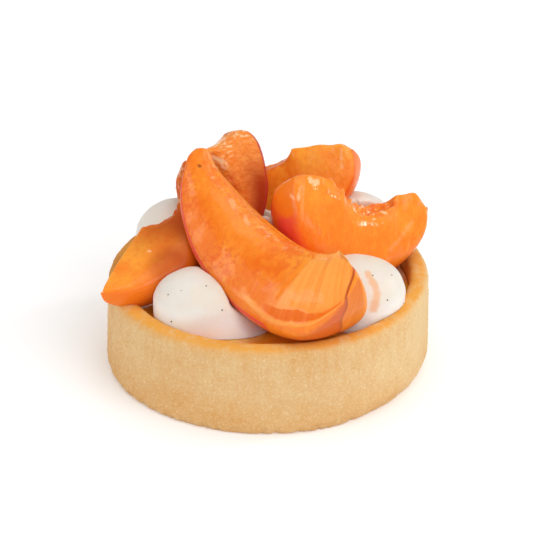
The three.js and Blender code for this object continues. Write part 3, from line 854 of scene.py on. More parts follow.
# %% Skin
def skin_colour(tree, wedge, on):
    """The skin's colour; how much of each point it covers is kept in on.covered."""
    blotches = apricot_noise(tree, wedge, "blotches")
    red = ramp(tree, plus(tree, blotches, times(tree, on.blush, 0.35)), 0.62, 0.82)
    skin = tint(tree, SKIN_ORANGE, SKIN_RED, red)
    line_red = tint(tree, skin, SKIN_RED, maths(tree, "MINIMUM", 1.0, plus(tree, on.blush, 0.35)))
    skin = tint(tree, skin, line_red, ramp(tree, on.depth, 0.02, 0.16))
    at_stem = ramp(tree, on.past_fold, 4.0, 9.0)
    skin = tint(tree, skin, STEM_SKIN, at_stem, ramp(tree, on.fan, 0.35, 0.6, 0.6, 1.0))
    peel, blur = wedge["peel"]
    on.covered = times(tree, ramp(tree, on.depth, blur, 0.2 - blur), larger(tree, red, peel))
    return skin

def add_seam(tree, wedge, on, colour):
    """The thin darker line at which the skin begins."""
    amount, darkness, width = wedge["seam"]
    thin_line = times(tree, ramp(tree, on.depth, -0.45, -0.2), ramp(tree, on.depth, width, 0.0))
    seam = tuple(light + (dark - light) * darkness for light, dark in zip(SKIN_RED, SKIN_DARK))
    seam = tint(tree, seam, STEM_SEAM, ramp(tree, on.past_fold, 3.0, 9.0))
    return tint(tree, colour, seam, thin_line, amount)

# %% Glaze, and the glints painted into the colour
def glint_share(tree, wedge, on):
    """Painted glints: the wet torn fibres round the stone are painted nearly white, and so are the
    sharpest creases; the shine strokes are painted highlights.
    """
    share = ramp(tree, apricot_noise(tree, wedge, "glints"), 0.57, 0.66)
    share = times(tree, times(tree, share, on.stone), wedge["painted_glint_amount"])
    share = larger(tree, share, times(tree, attribute(tree, "shine"), 0.6))
    return larger(tree, share, times(tree, ramp(tree, on.creases, 0.55, 0.95), 0.9))

def coat_share(tree, on):
    """The skin is duller than the wet flesh, and the darker patches mirror nothing bright."""
    dull = larger(tree, times(tree, on.covered, 0.55), times(tree, on.lens, 0.9))
    dull = larger(tree, dull, on.deep)
    dull = larger(tree, dull, times(tree, on.soaked, 0.8))
    return maths(tree, "SUBTRACT", 1.0, dull)

def flesh_normal(tree, on):
    grain = bump(tree, on.fibres, APRICOT_BUMPS["fibres"])
    grain = bump(tree, on.specks, APRICOT_BUMPS["specks"], grain)
    return bump(tree, on.creases, APRICOT_BUMPS["creases"], grain)

def glaze_normal(tree, wedge, on):
    lump_depth, ripple_depth = wedge["glaze"]
    glaze = bump(tree, apricot_noise(tree, wedge, "glaze_lumps"), lump_depth)
    glaze = bump(tree, apricot_noise(tree, wedge, "glaze_ripples"), ripple_depth, glaze)
    sparkle = times(tree, apricot_noise(tree, wedge, "sparkle"), on.stone)
    glaze = bump(tree, sparkle, APRICOT_BUMPS["sparkle"], glaze)
    return bump(tree, on.creases, APRICOT_BUMPS["coat_creases"], glaze)

# %% Apricot material
def apricot_material(name, wedge):
    material, tree, shader = new_material(
        name, FLESH_ORANGE, Roughness=0.38, Subsurface_Weight=0.35, Subsurface_Scale=0.0022,
        IOR=1.4, Specular_IOR_Level=0.05, Coat_Weight=1.0, Coat_Roughness=0.03, Coat_IOR=1.34)
    shader.inputs["Subsurface Radius"].default_value = FLESH_SCATTER
    on = read_surface(tree, wedge)
    flesh = glazed_flesh(tree, wedge, on, base_flesh(tree, wedge, on))
    flesh = stem_end_flesh(tree, wedge, on, flesh)
    skin = skin_colour(tree, wedge, on)
    colour = tint(tree, flesh, skin, on.covered)
    # Painted shade: the deep part turns dark red.
    colour = tint(tree, colour, SHADED_FLESH_RED, on.deep)
    colour = add_seam(tree, wedge, on, colour)
    colour = tint(tree, colour, SCAR_BROWN, attribute(tree, "scar"))
    # Painted highlights: pale streaks along the crinkles.
    colour = tint(tree, colour, PAINTED_PALE_LIGHT, on.creases, 0.7)
    # Painted glints and highlights, mixed into the colour.
    colour = tint(tree, colour, PAINTED_GLINT, glint_share(tree, wedge, on))
    tree.links.new(colour, shader.inputs["Base Color"])
    tree.links.new(coat_share(tree, on), shader.inputs["Coat Weight"])
    tree.links.new(flesh_normal(tree, on), shader.inputs["Normal"])
    tree.links.new(glaze_normal(tree, wedge, on), shader.inputs["Coat Normal"])
    return material

for wedge_name, wedge in WEDGES.items():
    fruit = build_wedge(wedge_name, wedge)
    fruit.data.materials.append(apricot_material(wedge_name + "_flesh", wedge))
    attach(fruit, "root")
    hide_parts(wedge_name)
    print(fruit.name, "points:", len(fruit.data.vertices))

# %% [markdown]
# ## Cream
#
# Each dollop is a ball that has settled on the jelly. Where a wedge presses on it, its
# surface gives way: every point that would lie inside a wedge moves back towards the
# dollop's own heart, until it is all but clear: it may stay a third of a millimetre
# inside, so that no gap shows. The same formula that built the wedges says whether a
# point is inside one.
#
# Lengths are in mm. A dollop's tail is how far its foot is drawn out, spread and low say
# how wide and how low the tail is, and towards is its direction in degrees. Each drip is
# a stroke of syrup that has run down the cream.

# %% Dollop sizes
JELLY_TOP = 17.0
CASE_INSIDE = 30.8
CASE_MARGIN = 0.1
RIM_SHOULDER = 18.9  # from this height the rim curves away and leaves the cream more room
RIM_SLOPE = 1.4
DOLLOPS = {
    "cream_front_left": dict(
        at=(-15.4, -15.7), radius=8.9, height=11.3, tail=8.4, spread=0.7, low=1.15,
        towards=-8, seed=2),
    "cream_right": dict(
        at=(19.8, -11.8), radius=9.8, height=12.7, tail=2.0, towards=130, seed=4,
        drips=[((21.6, -15.8, 29.0), (23.4, -19.4, 25.6), 0.6, 1.0),
               ((23.4, -19.4, 25.6), (22.8, -20.8, 23.0), 0.7, 1.0)]),
    "cream_back_left": dict(
        at=(-19.0, 13.3), radius=9.8, height=13.3, tail=1.5, towards=40, seed=6),
    "cream_back_right": dict(
        at=(18.8, 16.0), radius=9.8, height=14.0, tail=1.5, towards=200, seed=7),
    "cream_back": dict(
        at=(-0.2, 20.2), radius=9.0, height=19.5, tail=1.0, towards=270, seed=9),
    "cream_centre": dict(
        at=(0.0, 0.5), radius=9.6, height=15.5, tail=1.0, towards=180, seed=12),
}
DOLLOP_WAIST = 0.42  # where a dollop is widest, as a share of its height
DOLLOP_FOOT = 0.97
DOLLOP_SINK = 0.1
HEART_HEIGHT = 2.0
TAIL_SPREAD = 0.5
FOOT_FULLNESS = 1.6
DOLLOP_LUMPS = ((0.3, 6.0), (0.08, 2.2))  # height and size of its lumps
DOLLOP_RINGS = 90
DOLLOP_POINTS = 150
PROBES = 46
PROBE_STEP = 0.02
DENT_ROUNDS = 8
WEDGE_MARGIN = -0.35  # below nought, so that the cream reaches this far into a wedge
STAIN_MARGINS = (2.6, 2.1, 1.7, 1.3, 1.0, 0.7)
print("dollops:", len(DOLLOPS))

# %% Inside a wedge
def inside_wedge(wedge, points, margin):
    """Whether each point lies in the wedge, made fatter by margin in mm."""
    middle, half, along, down, side = wedge_axes(wedge)
    turn, opening = math.radians(wedge["turn"]), math.radians(wedge["angle"]) / 2
    belly_way = down * math.cos(turn) + side * math.sin(turn)
    from_middle = points - middle
    s = from_middle @ along / half
    near = np.clip(s, -1, 1)
    bow = wedge["sag"] * (1 - near ** 2) - np.where(s < 0, *wedge["hook"]) * np.abs(near) ** 3
    from_middle = from_middle - bow[:, None] * belly_way
    x, y = from_middle @ down, from_middle @ side
    reach = np.hypot(x, y)
    theta = (np.arctan2(y, x) - turn + math.pi) % (2 * math.pi) - math.pi
    inner, outer, _ = wedge_radii(wedge, np.clip(s, -0.999, 0.999))
    in_sector = np.abs(theta) * reach < opening * reach + margin
    return (np.abs(s) < 1) & in_sector & (reach > inner - margin) & (reach < outer + margin)

# %% A dollop that nothing presses on
def free_dollop(dollop):
    """The points of the whole ball, with its closing points at the foot and the top."""
    level = np.linspace(-1, 1, DOLLOP_RINGS + 2)[1:-1]
    z = np.sin(np.pi / 2 * level)[:, None]
    around = np.arange(DOLLOP_POINTS)[None, :] / DOLLOP_POINTS * 2 * np.pi
    spread = np.cos(np.pi / 2 * level)[:, None] + 0 * around
    z = z + 0 * around
    foot = DOLLOP_FOOT + (1 - DOLLOP_FOOT) * spread
    off_tail = (around - math.radians(dollop["towards"]) + np.pi) % (2 * np.pi) - np.pi
    height = dollop["height"]
    waist = height * DOLLOP_WAIST
    rise = np.where(z < 0, np.maximum(0, waist * (1 + 1.25 * z)), waist + (height - waist) * z)
    fullness = np.minimum(1, spread * FOOT_FULLNESS)
    lowness = (1 - rise / height) ** dollop.get("low", 1.0) * fullness
    pull = dollop["tail"] * np.exp(-(off_tail / dollop.get("spread", TAIL_SPREAD)) ** 2) * lowness
    across = np.where(z < 0, foot * fullness, spread) * dollop["radius"] + pull
    base = JELLY_TOP - DOLLOP_SINK
    points = np.stack([
        dollop["at"][0] + across * np.cos(around),
        dollop["at"][1] + across * np.sin(around),
        base + rise], axis=-1)
    tips = [[[*dollop["at"], base]], [[*dollop["at"], base + height]]]
    return np.concatenate([tips[0], points.reshape(-1, 3), tips[1]])

# %% Dents
def is_blocked(probe):
    """Whether each point lies in a wedge or in the wall of the case."""
    over_rim = np.maximum(0, probe[:, 2] - RIM_SHOULDER) * RIM_SLOPE
    blocked = np.hypot(probe[:, 0], probe[:, 1]) > CASE_INSIDE - CASE_MARGIN + over_rim
    for wedge in WEDGES.values():
        blocked |= inside_wedge(wedge, probe, WEDGE_MARGIN)
    return blocked

def room_for(heart, outwards):
    """The share of each way out from the heart that is free, softened round the dents."""
    room = np.ones(len(outwards))
    for share in np.linspace(1.0, 0.1, PROBES):
        room = np.where(is_blocked(heart + outwards * share), share - PROBE_STEP, room)
    soft = room[1:-1].reshape(DOLLOP_RINGS, DOLLOP_POINTS)
    for _ in range(DENT_ROUNDS):
        above, below = np.vstack([soft[:1], soft[:-1]]), np.vstack([soft[1:], soft[-1:]])
        beside = (above + below + np.roll(soft, 1, axis=1) + np.roll(soft, -1, axis=1)) / 4
        soft = np.minimum(soft, 0.5 * (soft + beside))
    room[1:-1] = soft.ravel()
    return room

# %% Build one dollop
def build_dollop(name, dollop):
    points, seed = free_dollop(dollop), dollop["seed"]
    heart = np.array([*dollop["at"], JELLY_TOP + HEART_HEIGHT])
    outwards = points - heart
    length = np.linalg.norm(outwards, axis=1, keepdims=True)
    lumps = sum(height * soft_noise(points, size, seed + extra)
                for extra, (height, size) in enumerate(DOLLOP_LUMPS))
    above_jelly = points[:, 2] > JELLY_TOP + 0.3
    outwards = outwards * (1 + (lumps * above_jelly)[:, None] / length)
    points = heart + outwards * room_for(heart, outwards)[:, None]

    # Syrup from the fruit stains the cream where they nearly touch.
    stain = np.zeros(len(points))
    for margin in STAIN_MARGINS:
        amount = 1 - (margin - 0.3) / STAIN_MARGINS[0]
        for wedge in WEDGES.values():
            stain = np.where(inside_wedge(wedge, points, margin), amount, stain)
    values = {"stain": stain, "drip": near_marks(points, dollop.get("drips", []))}
    return make_piece(name + "_dollop", points, grid_faces(DOLLOP_RINGS, DOLLOP_POINTS), values)

# %% Cream material
CREAM_WHITE = (0.77, 0.715, 0.645)
CREAM_WARM = (0.77, 0.70, 0.60)
# The low part of the cream is painted paler: painted light where it lies in shade near the rim.
CREAM_LOW_PAINTED_LIGHT = (0.90, 0.89, 0.88)
CREAM_PAINTED_LIGHT_HEIGHTS = (0.0255, 0.0195)  # heights in metres between which it turns paler
CREAM_SCATTER = (1.0, 0.8, 0.55)
SYRUP_STAIN = (0.80, 0.38, 0.13)
STAIN_STRENGTH = 0.15
DRIP_STRENGTH = 0.65

def cream_material():
    material, tree, shader = new_material(
        "vanilla_cream", CREAM_WHITE, Roughness=0.42, Subsurface_Weight=0.5,
        Subsurface_Scale=0.002, IOR=1.4)
    shader.inputs["Subsurface Radius"].default_value = CREAM_SCATTER
    tone = noise(tree, 220.0, 2.0, 0.5)
    colour = tint(tree, CREAM_WHITE, CREAM_WARM, ramp(tree, tone, 0.35, 0.7))
    height = take_apart(tree, add_node(tree, "ShaderNodeTexCoord").outputs["Object"])["Z"]
    # Painted light: paler towards the bottom.
    colour = tint(tree, colour, CREAM_LOW_PAINTED_LIGHT, ramp(tree, height, *CREAM_PAINTED_LIGHT_HEIGHTS))
    patchy = ramp(tree, noise(tree, 300.0, 2.0, 0.5, seed=5.0), 0.3, 0.6)
    colour = tint(tree, colour, SYRUP_STAIN, attribute(tree, "stain"), patchy, STAIN_STRENGTH)
    colour = tint(tree, colour, SYRUP_STAIN, attribute(tree, "drip"), DRIP_STRENGTH)
    tree.links.new(colour, shader.inputs["Base Color"])
    air = bump(tree, noise(tree, 1500.0, 2.0, 0.6), 0.02)
    lumps = bump(tree, noise(tree, 500.0, 2.0, 0.5), 0.08, air)
    tree.links.new(lumps, shader.inputs["Normal"])
    return material

CREAM = cream_material()
for dollop_name, dollop in DOLLOPS.items():
    ball = build_dollop(dollop_name, dollop)
    ball.data.materials.append(CREAM)
    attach(ball, "root")
    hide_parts(dollop_name)
    print(ball.name, "points:", len(ball.data.vertices))

# %% [markdown]
# ## The pastry case
#
# The case is a body of revolution, so Geometry Nodes turn it like a potter: the profile
# is a chain of edges, a grid is wrapped round the axis, and each of its rows takes its
# radius and height from the profile. Then the same tree lifts the rim a little on one
# side and roughens the wall with crumb and with the faint upright marks of the ring.

# %% Case sizes
CASE_RADIUS = 35.2
CASE_TAPER = 0.4
CASE_HEIGHT = 20.2
WALL = 4.5
FLOOR = 3.0
BASE_ROUNDING = 1.1
LIP_ROUNDING = 1.5
RIM_TILT = 0.3
RIM_TILT_TOWARDS = 0.7
RIM_WAVE = 0.18
RIM_WAVES = 3
CASE_TURNS = 620
CASE_ROWS = 152

def bend(start, corner, end, steps=9):
    """Points along a quadratic curve from start to end, pulled towards corner."""
    t = np.linspace(0, 1, steps)[1:, None]
    start, corner, end = map(np.array, (start, corner, end))
    return ((1 - t) ** 2 * start + 2 * t * (1 - t) * corner + t * t * end).tolist()

def case_profile():
    lip = CASE_RADIUS - CASE_TAPER
    inside = CASE_RADIUS - WALL
    crest = (lip - WALL / 2, CASE_HEIGHT)
    low_lip = CASE_HEIGHT - LIP_ROUNDING
    foot = inside - CASE_TAPER
    points = [[0, 0], [CASE_RADIUS - BASE_ROUNDING, 0]]
    points += bend(points[-1], (CASE_RADIUS, 0), (CASE_RADIUS, BASE_ROUNDING))
    points += [[lip, low_lip]]
    points += bend(points[-1], (lip, CASE_HEIGHT), crest)
    points += bend(crest, (inside, CASE_HEIGHT), (inside, low_lip))
    points += [[foot, FLOOR + BASE_ROUNDING]]
    points += bend(points[-1], (foot, FLOOR), (inside - BASE_ROUNDING, FLOOR))
    return points + [[0, FLOOR]]

print("profile points:", len(case_profile()))

# %% Geometry Nodes helpers
def new_tree(name, inputs):
    """An empty Geometry Nodes tree with number inputs; returns it, its inputs and its end node."""
    tree = bpy.data.node_groups.new(name, "GeometryNodeTree")
    for way in ("INPUT", "OUTPUT"):
        tree.interface.new_socket("Geometry", in_out=way, socket_type="NodeSocketGeometry")
    for label, value in inputs.items():
        kind = "NodeSocketInt" if isinstance(value, int) else "NodeSocketFloat"
        socket = tree.interface.new_socket(label, in_out="INPUT", socket_type=kind)
        socket.default_value = value
    given = tree.nodes.new("NodeGroupInput").outputs
    return tree, given, tree.nodes.new("NodeGroupOutput")

def finish_tree(tree, geometry, material, result):
    """Gives the geometry its material and hands it to the tree's end node."""
    dressed = add_node(tree, "GeometryNodeSetMaterial", Geometry=geometry)
    dressed.inputs["Material"].default_value = material
    tree.links.new(dressed.outputs["Geometry"], result.inputs["Geometry"])

def grown_by(tree, carrier, name, inputs):
    """Runs the tree on the carrier with the given inputs; returns the result as a mesh piece."""
    modifier = carrier.modifiers.new(name, "NODES")
    modifier.node_group = tree
    for item in tree.interface.items_tree:
        if item.in_out == "INPUT" and item.name in inputs:
            modifier[item.identifier] = inputs[item.name]
    evaluated = carrier.evaluated_get(bpy.context.evaluated_depsgraph_get())
    mesh = bpy.data.meshes.new_from_object(evaluated)
    carrier.modifiers.remove(modifier)
    piece = bpy.data.objects.new(name, mesh)
    bpy.context.scene.collection.objects.link(piece)
    return piece

# %% Case material
PASTRY_PALE = (0.75, 0.53, 0.268)
PASTRY_GOLD = (0.68, 0.36, 0.12)
PASTRY_GRAIN = (0.93, 0.76, 0.50)
PASTRY_LIP = (0.80, 0.35, 0.05)
PASTRY_SOAKED_AND_LIT = (1.0, 0.50, 0.08)
PASTRY_TOAST = (0.50, 0.19, 0.04)

PASTRY_NOISES = {  # lumps per metre, detail, roughness and seed
    "grain": (1500.0, 3.0, 0.7, 0.0),
    "fine": (2600.0, 2.0, 0.6, 9.0),
    "mottle": (420.0, 3.0, 0.6, 2.0),
    "cloud": (90.0, 2.0, 0.5, 4.0),
}
STREAK_SQUEEZE = (1.0, 1.0, 0.12)  # draws the lumps out upwards
BACK_LEFT = (-0.8, 0.6, 0.0)

def pastry_material():
    material, tree, shader = new_material(
        "shortcrust", PASTRY_PALE, Roughness=0.75, IOR=1.4, Specular_IOR_Level=0.3)
    place = add_node(tree, "ShaderNodeTexCoord").outputs["Object"]
    apart = take_apart(tree, place)
    radius = length_of(tree, combine(tree, apart["X"], apart["Y"], 0.0))
    grain, fine, mottle, cloud = (
        noise(tree, scale, detail, roughness, seed=seed)
        for scale, detail, roughness, seed in PASTRY_NOISES.values())
    streak_place = vector_maths(tree, "MULTIPLY", place, STREAK_SQUEEZE)
    streaks = noise(tree, 700.0, 2.0, 0.6, streak_place, 5.0)
    upper = ramp(tree, apart["Z"], 0.007, 0.016)

    # The wall bakes golden in grains, clouds and upright streaks. Towards its foot it is painted
    # darker, as painted shade, and towards the right paler, as painted light where the key light
    # falls.
    gold_and_painted_shade = plus(tree, times(tree, ramp(tree, grain, 0.36, 0.62), 0.34),
                times(tree, ramp(tree, cloud, 0.35, 0.7), 0.28))
    gold_and_painted_shade = plus(tree, gold_and_painted_shade, times(tree, ramp(tree, mottle, 0.4, 0.65), 0.16))
    gold_and_painted_shade = plus(tree, gold_and_painted_shade, times(tree, ramp(tree, streaks, 0.4, 0.7), times(tree, upper, 0.24)))
    # Painted shade: darker towards the foot.
    gold_and_painted_shade = plus(tree, gold_and_painted_shade, times(tree, ramp(tree, apart["Z"], 0.012, 0.002), 0.38))
    # Painted light: paler towards the right.
    gold_and_painted_shade = plus(tree, gold_and_painted_shade, ramp(tree, apart["X"], 0.034, 0.016, -0.40, 0.0))
    colour = tint(tree, PASTRY_PALE, PASTRY_GOLD, gold_and_painted_shade)
    colour = tint(tree, colour, PASTRY_GRAIN, ramp(tree, fine, 0.55, 0.68), 0.4)

    # The rim browned first, and the jelly has soaked into its inner edge. That soaked orange is
    # painted brighter than the real soak, as painted light on the shaded inner wall.
    high = ramp(tree, apart["Z"], 0.0165, 0.0196)
    browned = times(tree, high, ramp(tree, radius, 0.0353, 0.0338))
    browned = times(tree, browned, ramp(tree, mottle, 0.3, 0.55, 0.4, 1.0))
    colour = tint(tree, colour, PASTRY_LIP, browned, 0.95)
    below_rim = ramp(tree, apart["Z"], 0.0204, 0.0190)
    colour = tint(tree, colour, PASTRY_SOAKED_AND_LIT, ramp(tree, radius, 0.0322, 0.0308), below_rim, 0.75)

    # The back left is toasted below the rim.
    towards = vector_maths(tree, "DOT_PRODUCT", place, BACK_LEFT, output="Value")
    toasted = times(tree, ramp(tree, apart["Z"], 0.012, 0.018), ramp(tree, cloud, 0.25, 0.6))
    toasted = times(tree, ramp(tree, towards, 0.010, 0.03), toasted)
    colour = tint(tree, colour, PASTRY_TOAST, toasted, 0.65)
    tree.links.new(colour, shader.inputs["Base Color"])
    tree.links.new(bump(tree, grain, 0.07, bump(tree, fine, 0.03)), shader.inputs["Normal"])
    return material

# %% The case tree
CASE_INPUTS = {  # what the tree can be given, all but the first two in metres
    "Turns": CASE_TURNS, "Rows": CASE_ROWS, "Rim tilt": RIM_TILT * MM, "Rim wave": RIM_WAVE * MM,
    "Crumb depth": 0.12 * MM, "Lump depth": 0.26 * MM, "Streak depth": 0.08 * MM,
    "Right rise": 0.65 * MM, "Right shift": 0.38 * MM, "Bite depth": 0.7 * MM,
    "Foot cut": 1.3 * MM, "Foot bulge": 0.5 * MM}
RIGHT, FRONT_RIGHT, FRONT_LEFT = 0.05, -0.5, -2.2  # ways round the case, in radians
UPRIGHT_MARKS = (1.0, 1.0, 0.1)  # draws the lumps out upwards
FOOT_BETWEEN = (0.0325, 0.034)  # distances in metres between which the foot of the wall begins
MERGE_DISTANCE = 1e-6
print("case tree inputs:", ", ".join(CASE_INPUTS))

def own_place(tree):
    return tree.nodes.new("GeometryNodeInputPosition").outputs[0]

def turned_profile(tree, given):
    """Wraps a grid round the axis; each of its rows follows one point of the profile."""
    profile = add_node(tree, "GeometryNodeMeshToCurve", Mesh=given["Geometry"])
    grid = add_node(tree, "GeometryNodeMeshGrid", Size_X=2 * math.pi, Size_Y=1.0)
    plug_in(tree, grid, "Vertices X", plus(tree, given["Turns"], 1.0))
    plug_in(tree, grid, "Vertices Y", given["Rows"])
    flat = take_apart(tree, own_place(tree))
    sample = add_node(tree, "GeometryNodeSampleCurve", {"mode": "FACTOR"})
    plug_in(tree, sample, "Curves", profile.outputs["Curve"])
    plug_in(tree, sample, "Factor", plus(tree, flat["Y"], 0.5))
    drawn = take_apart(tree, sample.outputs["Position"])
    x = times(tree, drawn["X"], maths(tree, "COSINE", flat["X"]))
    y = times(tree, drawn["X"], maths(tree, "SINE", flat["X"]))
    turned = add_node(tree, "GeometryNodeSetPosition", Geometry=grid.outputs["Mesh"],
                      Position=combine(tree, x, y, drawn["Z"]))
    joined = add_node(tree, "GeometryNodeMergeByDistance", Geometry=turned.outputs["Geometry"],
                      Distance=MERGE_DISTANCE)
    return joined.outputs["Geometry"]

def facing(tree, angle, way, low, high=0.97):
    """1 where the wall faces the given way, and 0 from some distance to both sides."""
    return ramp(tree, maths(tree, "COSINE", maths(tree, "SUBTRACT", angle, way)), low, high)

def rim_rise(tree, given, angle, height):
    """How far the rim is lifted: a tilt, three waves and a rise at the right."""
    raised = ramp(tree, height, FLOOR * MM, CASE_HEIGHT * MM)
    off_tilt = maths(tree, "SUBTRACT", angle, RIM_TILT_TOWARDS)
    tilt = times(tree, given["Rim tilt"], maths(tree, "COSINE", off_tilt))
    waves = maths(tree, "SINE", times(tree, angle, float(RIM_WAVES)))
    wave = times(tree, given["Rim wave"], waves)
    lift = times(tree, facing(tree, angle, RIGHT, 0.70), given["Right rise"])
    return times(tree, raised, plus(tree, plus(tree, tilt, wave), lift))

def crumb_push(tree, given, place, height):
    """Crumb, lumps and the ring's upright marks, pushed along the normal."""
    def layer(depth, *settings):
        return times(tree, maths(tree, "SUBTRACT", noise(tree, *settings), 0.5), given[depth])
    upright = vector_maths(tree, "MULTIPLY", place, UPRIGHT_MARKS)
    depth = layer("Crumb depth", 1500.0, 3.0, 0.6, place)
    depth = plus(tree, depth, layer("Lump depth", 260.0, 2.0, 0.5, place, 3.0))
    depth = plus(tree, depth, layer("Streak depth", 600.0, 2.0, 0.5, upright, 6.0))
    off_base = ramp(tree, height, 0.0001, 0.0008)
    normal = tree.nodes.new("GeometryNodeInputNormal").outputs[0]
    return vector_maths(tree, "SCALE", normal, scale=times(tree, times(tree, depth, off_base), 2.0))

def foot_push(tree, given, place, angle, apart):
    """Small bites out of the lowest edge, and a foot that stands in or out a little."""
    outer = ramp(tree, length_of(tree, place), *FOOT_BETWEEN)
    edge = times(tree, ramp(tree, apart["Z"], 0.0032, 0.0006), outer)
    bites = times(tree, ramp(tree, noise(tree, 420.0, 3.0, 0.7, place, 8.0), 0.46, 0.68), edge)
    bites = times(tree, bites, given["Bite depth"])
    cut = times(tree, facing(tree, angle, FRONT_RIGHT, 0.75), ramp(tree, apart["Z"], 0.0040, 0.0))
    bulge = times(tree, facing(tree, angle, FRONT_LEFT, 0.75), ramp(tree, apart["Z"], 0.012, 0.0))
    cut = times(tree, times(tree, cut, outer), given["Foot cut"])
    bulge = times(tree, times(tree, bulge, outer), given["Foot bulge"])
    foot = maths(tree, "SUBTRACT", cut, bulge)
    outwards = vector_maths(tree, "NORMALIZE", combine(tree, apart["X"], apart["Y"], 0.0))
    return vector_maths(tree, "SCALE", outwards, scale=times(tree, plus(tree, bites, foot), -1.0))

def case_tree(material):
    tree, given, result = new_tree("turned_case", CASE_INPUTS)
    joined = turned_profile(tree, given)
    place = own_place(tree)
    apart = take_apart(tree, place)
    angle = maths(tree, "ARCTAN2", apart["Y"], apart["X"])
    rise = rim_rise(tree, given, angle, apart["Z"])
    shift = combine(tree, given["Right shift"], 0.0, rise)
    offset = vector_maths(tree, "ADD", crumb_push(tree, given, place, apart["Z"]), shift)
    offset = vector_maths(tree, "ADD", offset, foot_push(tree, given, place, angle, apart))
    rough = add_node(tree, "GeometryNodeSetPosition", Geometry=joined, Offset=offset)
    smooth = add_node(tree, "GeometryNodeSetShadeSmooth", Geometry=rough.outputs["Geometry"])
    finish_tree(tree, smooth.outputs["Geometry"], material, result)
    return tree

# %% Turn the case
def profile_chain():
    points = [(r, 0.0, z) for r, z in case_profile()]
    mesh = bpy.data.meshes.new("case_profile")
    links = [(i, i + 1) for i in range(len(points) - 1)]
    mesh.from_pydata((np.array(points) * MM).tolist(), links, [])
    chain = bpy.data.objects.new("case_profile", mesh)
    bpy.context.scene.collection.objects.link(chain)
    return chain

PASTRY = pastry_material()
chain = profile_chain()
crust = grown_by(case_tree(PASTRY), chain, "pastry_case", {"Turns": CASE_TURNS, "Rows": CASE_ROWS})
bpy.data.objects.remove(chain)
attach(crust, "root")
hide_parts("crust")
print("pastry case faces:", len(crust.data.polygons), "materials:", len(crust.data.materials))

# %% [markdown]
# ## Crumbs and vanilla
#
# Shortcrust is made of grains of butter and flour, and some of them stand proud of the
# wall. The cream holds the tiny dark seeds of a vanilla pod. Both are the same task, a
# small faceted grain scattered over a surface, so one Geometry Nodes tree does both. The
# seed is fixed, so the grains fall on the same places each time.

# %% The scatter tree
GRAIN_INPUTS = {
    "Density": 1000.0, "Smallest": 0.1, "Largest": 0.2, "Sink": 0.3, "Flatness": 1.0,
    "Lowest": 0.0, "Seed": 1}
print("scatter tree inputs:", ", ".join(GRAIN_INPUTS))

def random_number(tree, lowest, largest, seed):
    node = add_node(tree, "FunctionNodeRandomValue", {"data_type": "FLOAT"}, Seed=seed)
    plug_in(tree, node, 2, lowest)
    plug_in(tree, node, 3, largest)
    return node.outputs[1]

def scatter_tree(material):
    tree, given, result = new_tree("scattered_grains", GRAIN_INPUTS)
    high_enough = add_node(
        tree, "FunctionNodeCompare", {"data_type": "FLOAT", "operation": "GREATER_THAN"})
    plug_in(tree, high_enough, 0, take_apart(tree, own_place(tree))["Z"])
    plug_in(tree, high_enough, 1, given["Lowest"])
    spread = add_node(
        tree, "GeometryNodeDistributePointsOnFaces", {"distribute_method": "RANDOM"},
        Mesh=given["Geometry"], Density=given["Density"], Seed=given["Seed"],
        Selection=high_enough.outputs["Result"])
    grain = add_node(tree, "GeometryNodeMeshIcoSphere", Radius=1.0, Subdivisions=1)
    size = random_number(tree, given["Smallest"], given["Largest"], given["Seed"])
    flat_size = times(tree, size, given["Flatness"])
    placed = add_node(
        tree, "GeometryNodeInstanceOnPoints", Points=spread.outputs["Points"],
        Instance=grain.outputs["Mesh"], Rotation=spread.outputs["Rotation"],
        Scale=combine(tree, size, size, flat_size))
    turn = random_number(tree, 0.0, 2 * math.pi, given["Seed"])
    turned = add_node(
        tree, "GeometryNodeRotateInstances", Instances=placed.outputs["Instances"],
        Rotation=combine(tree, 0.0, 0.0, turn))
    sink = times(tree, flat_size, times(tree, given["Sink"], -1.0))
    sunk = add_node(
        tree, "GeometryNodeTranslateInstances", Instances=turned.outputs["Instances"],
        Translation=combine(tree, 0.0, 0.0, sink))
    real = add_node(tree, "GeometryNodeRealizeInstances", Geometry=sunk.outputs["Instances"])
    finish_tree(tree, real.outputs["Geometry"], material, result)
    return tree

# %% Scatter the crumbs
CRUMBS = {
    "Density": 260000.0, "Smallest": 0.12 * MM, "Largest": 0.30 * MM, "Sink": 0.65,
    "Flatness": 0.38, "Lowest": 0.5 * MM, "Seed": 7}

crumbs = grown_by(scatter_tree(PASTRY), crust, "pastry_crumbs", CRUMBS)
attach(crumbs, "root")
print("crumb faces:", len(crumbs.data.polygons))

# %% Scatter the vanilla seeds
SEEDS = {
    "Density": 22000.0, "Smallest": 0.10 * MM, "Largest": 0.24 * MM, "Sink": 0.2,
    "Flatness": 0.5, "Lowest": 19.0 * MM, "Seed": 3}
SEED_BROWN = (0.10, 0.075, 0.06)
SEED_DARK = (0.06, 0.04, 0.03)
SEED_PALE = (0.20, 0.17, 0.14)

def vanilla_material():
    material, tree, shader = new_material("vanilla_seed", SEED_BROWN, Roughness=0.5)
    tone = ramp(tree, noise(tree, 900.0, 1.0, 0.5), 0.3, 0.7)
    tree.links.new(tint(tree, SEED_DARK, SEED_PALE, tone), shader.inputs["Base Color"])
    return material

vanilla_tree = scatter_tree(vanilla_material())
for dollop_name in DOLLOPS:
    ball = bpy.data.objects[dollop_name + "_dollop"]
    seeds = grown_by(vanilla_tree, ball, dollop_name + "_seeds", SEEDS)
    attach(seeds, "root")
    print(seeds.name, "faces:", len(seeds.data.polygons))

# %% [markdown]
# ## The jelly
#
# The jelly was poured warm, so its top is nearly flat and climbs a little at the wall.
# Little light gets down to it, so it needs a clear, strong orange.

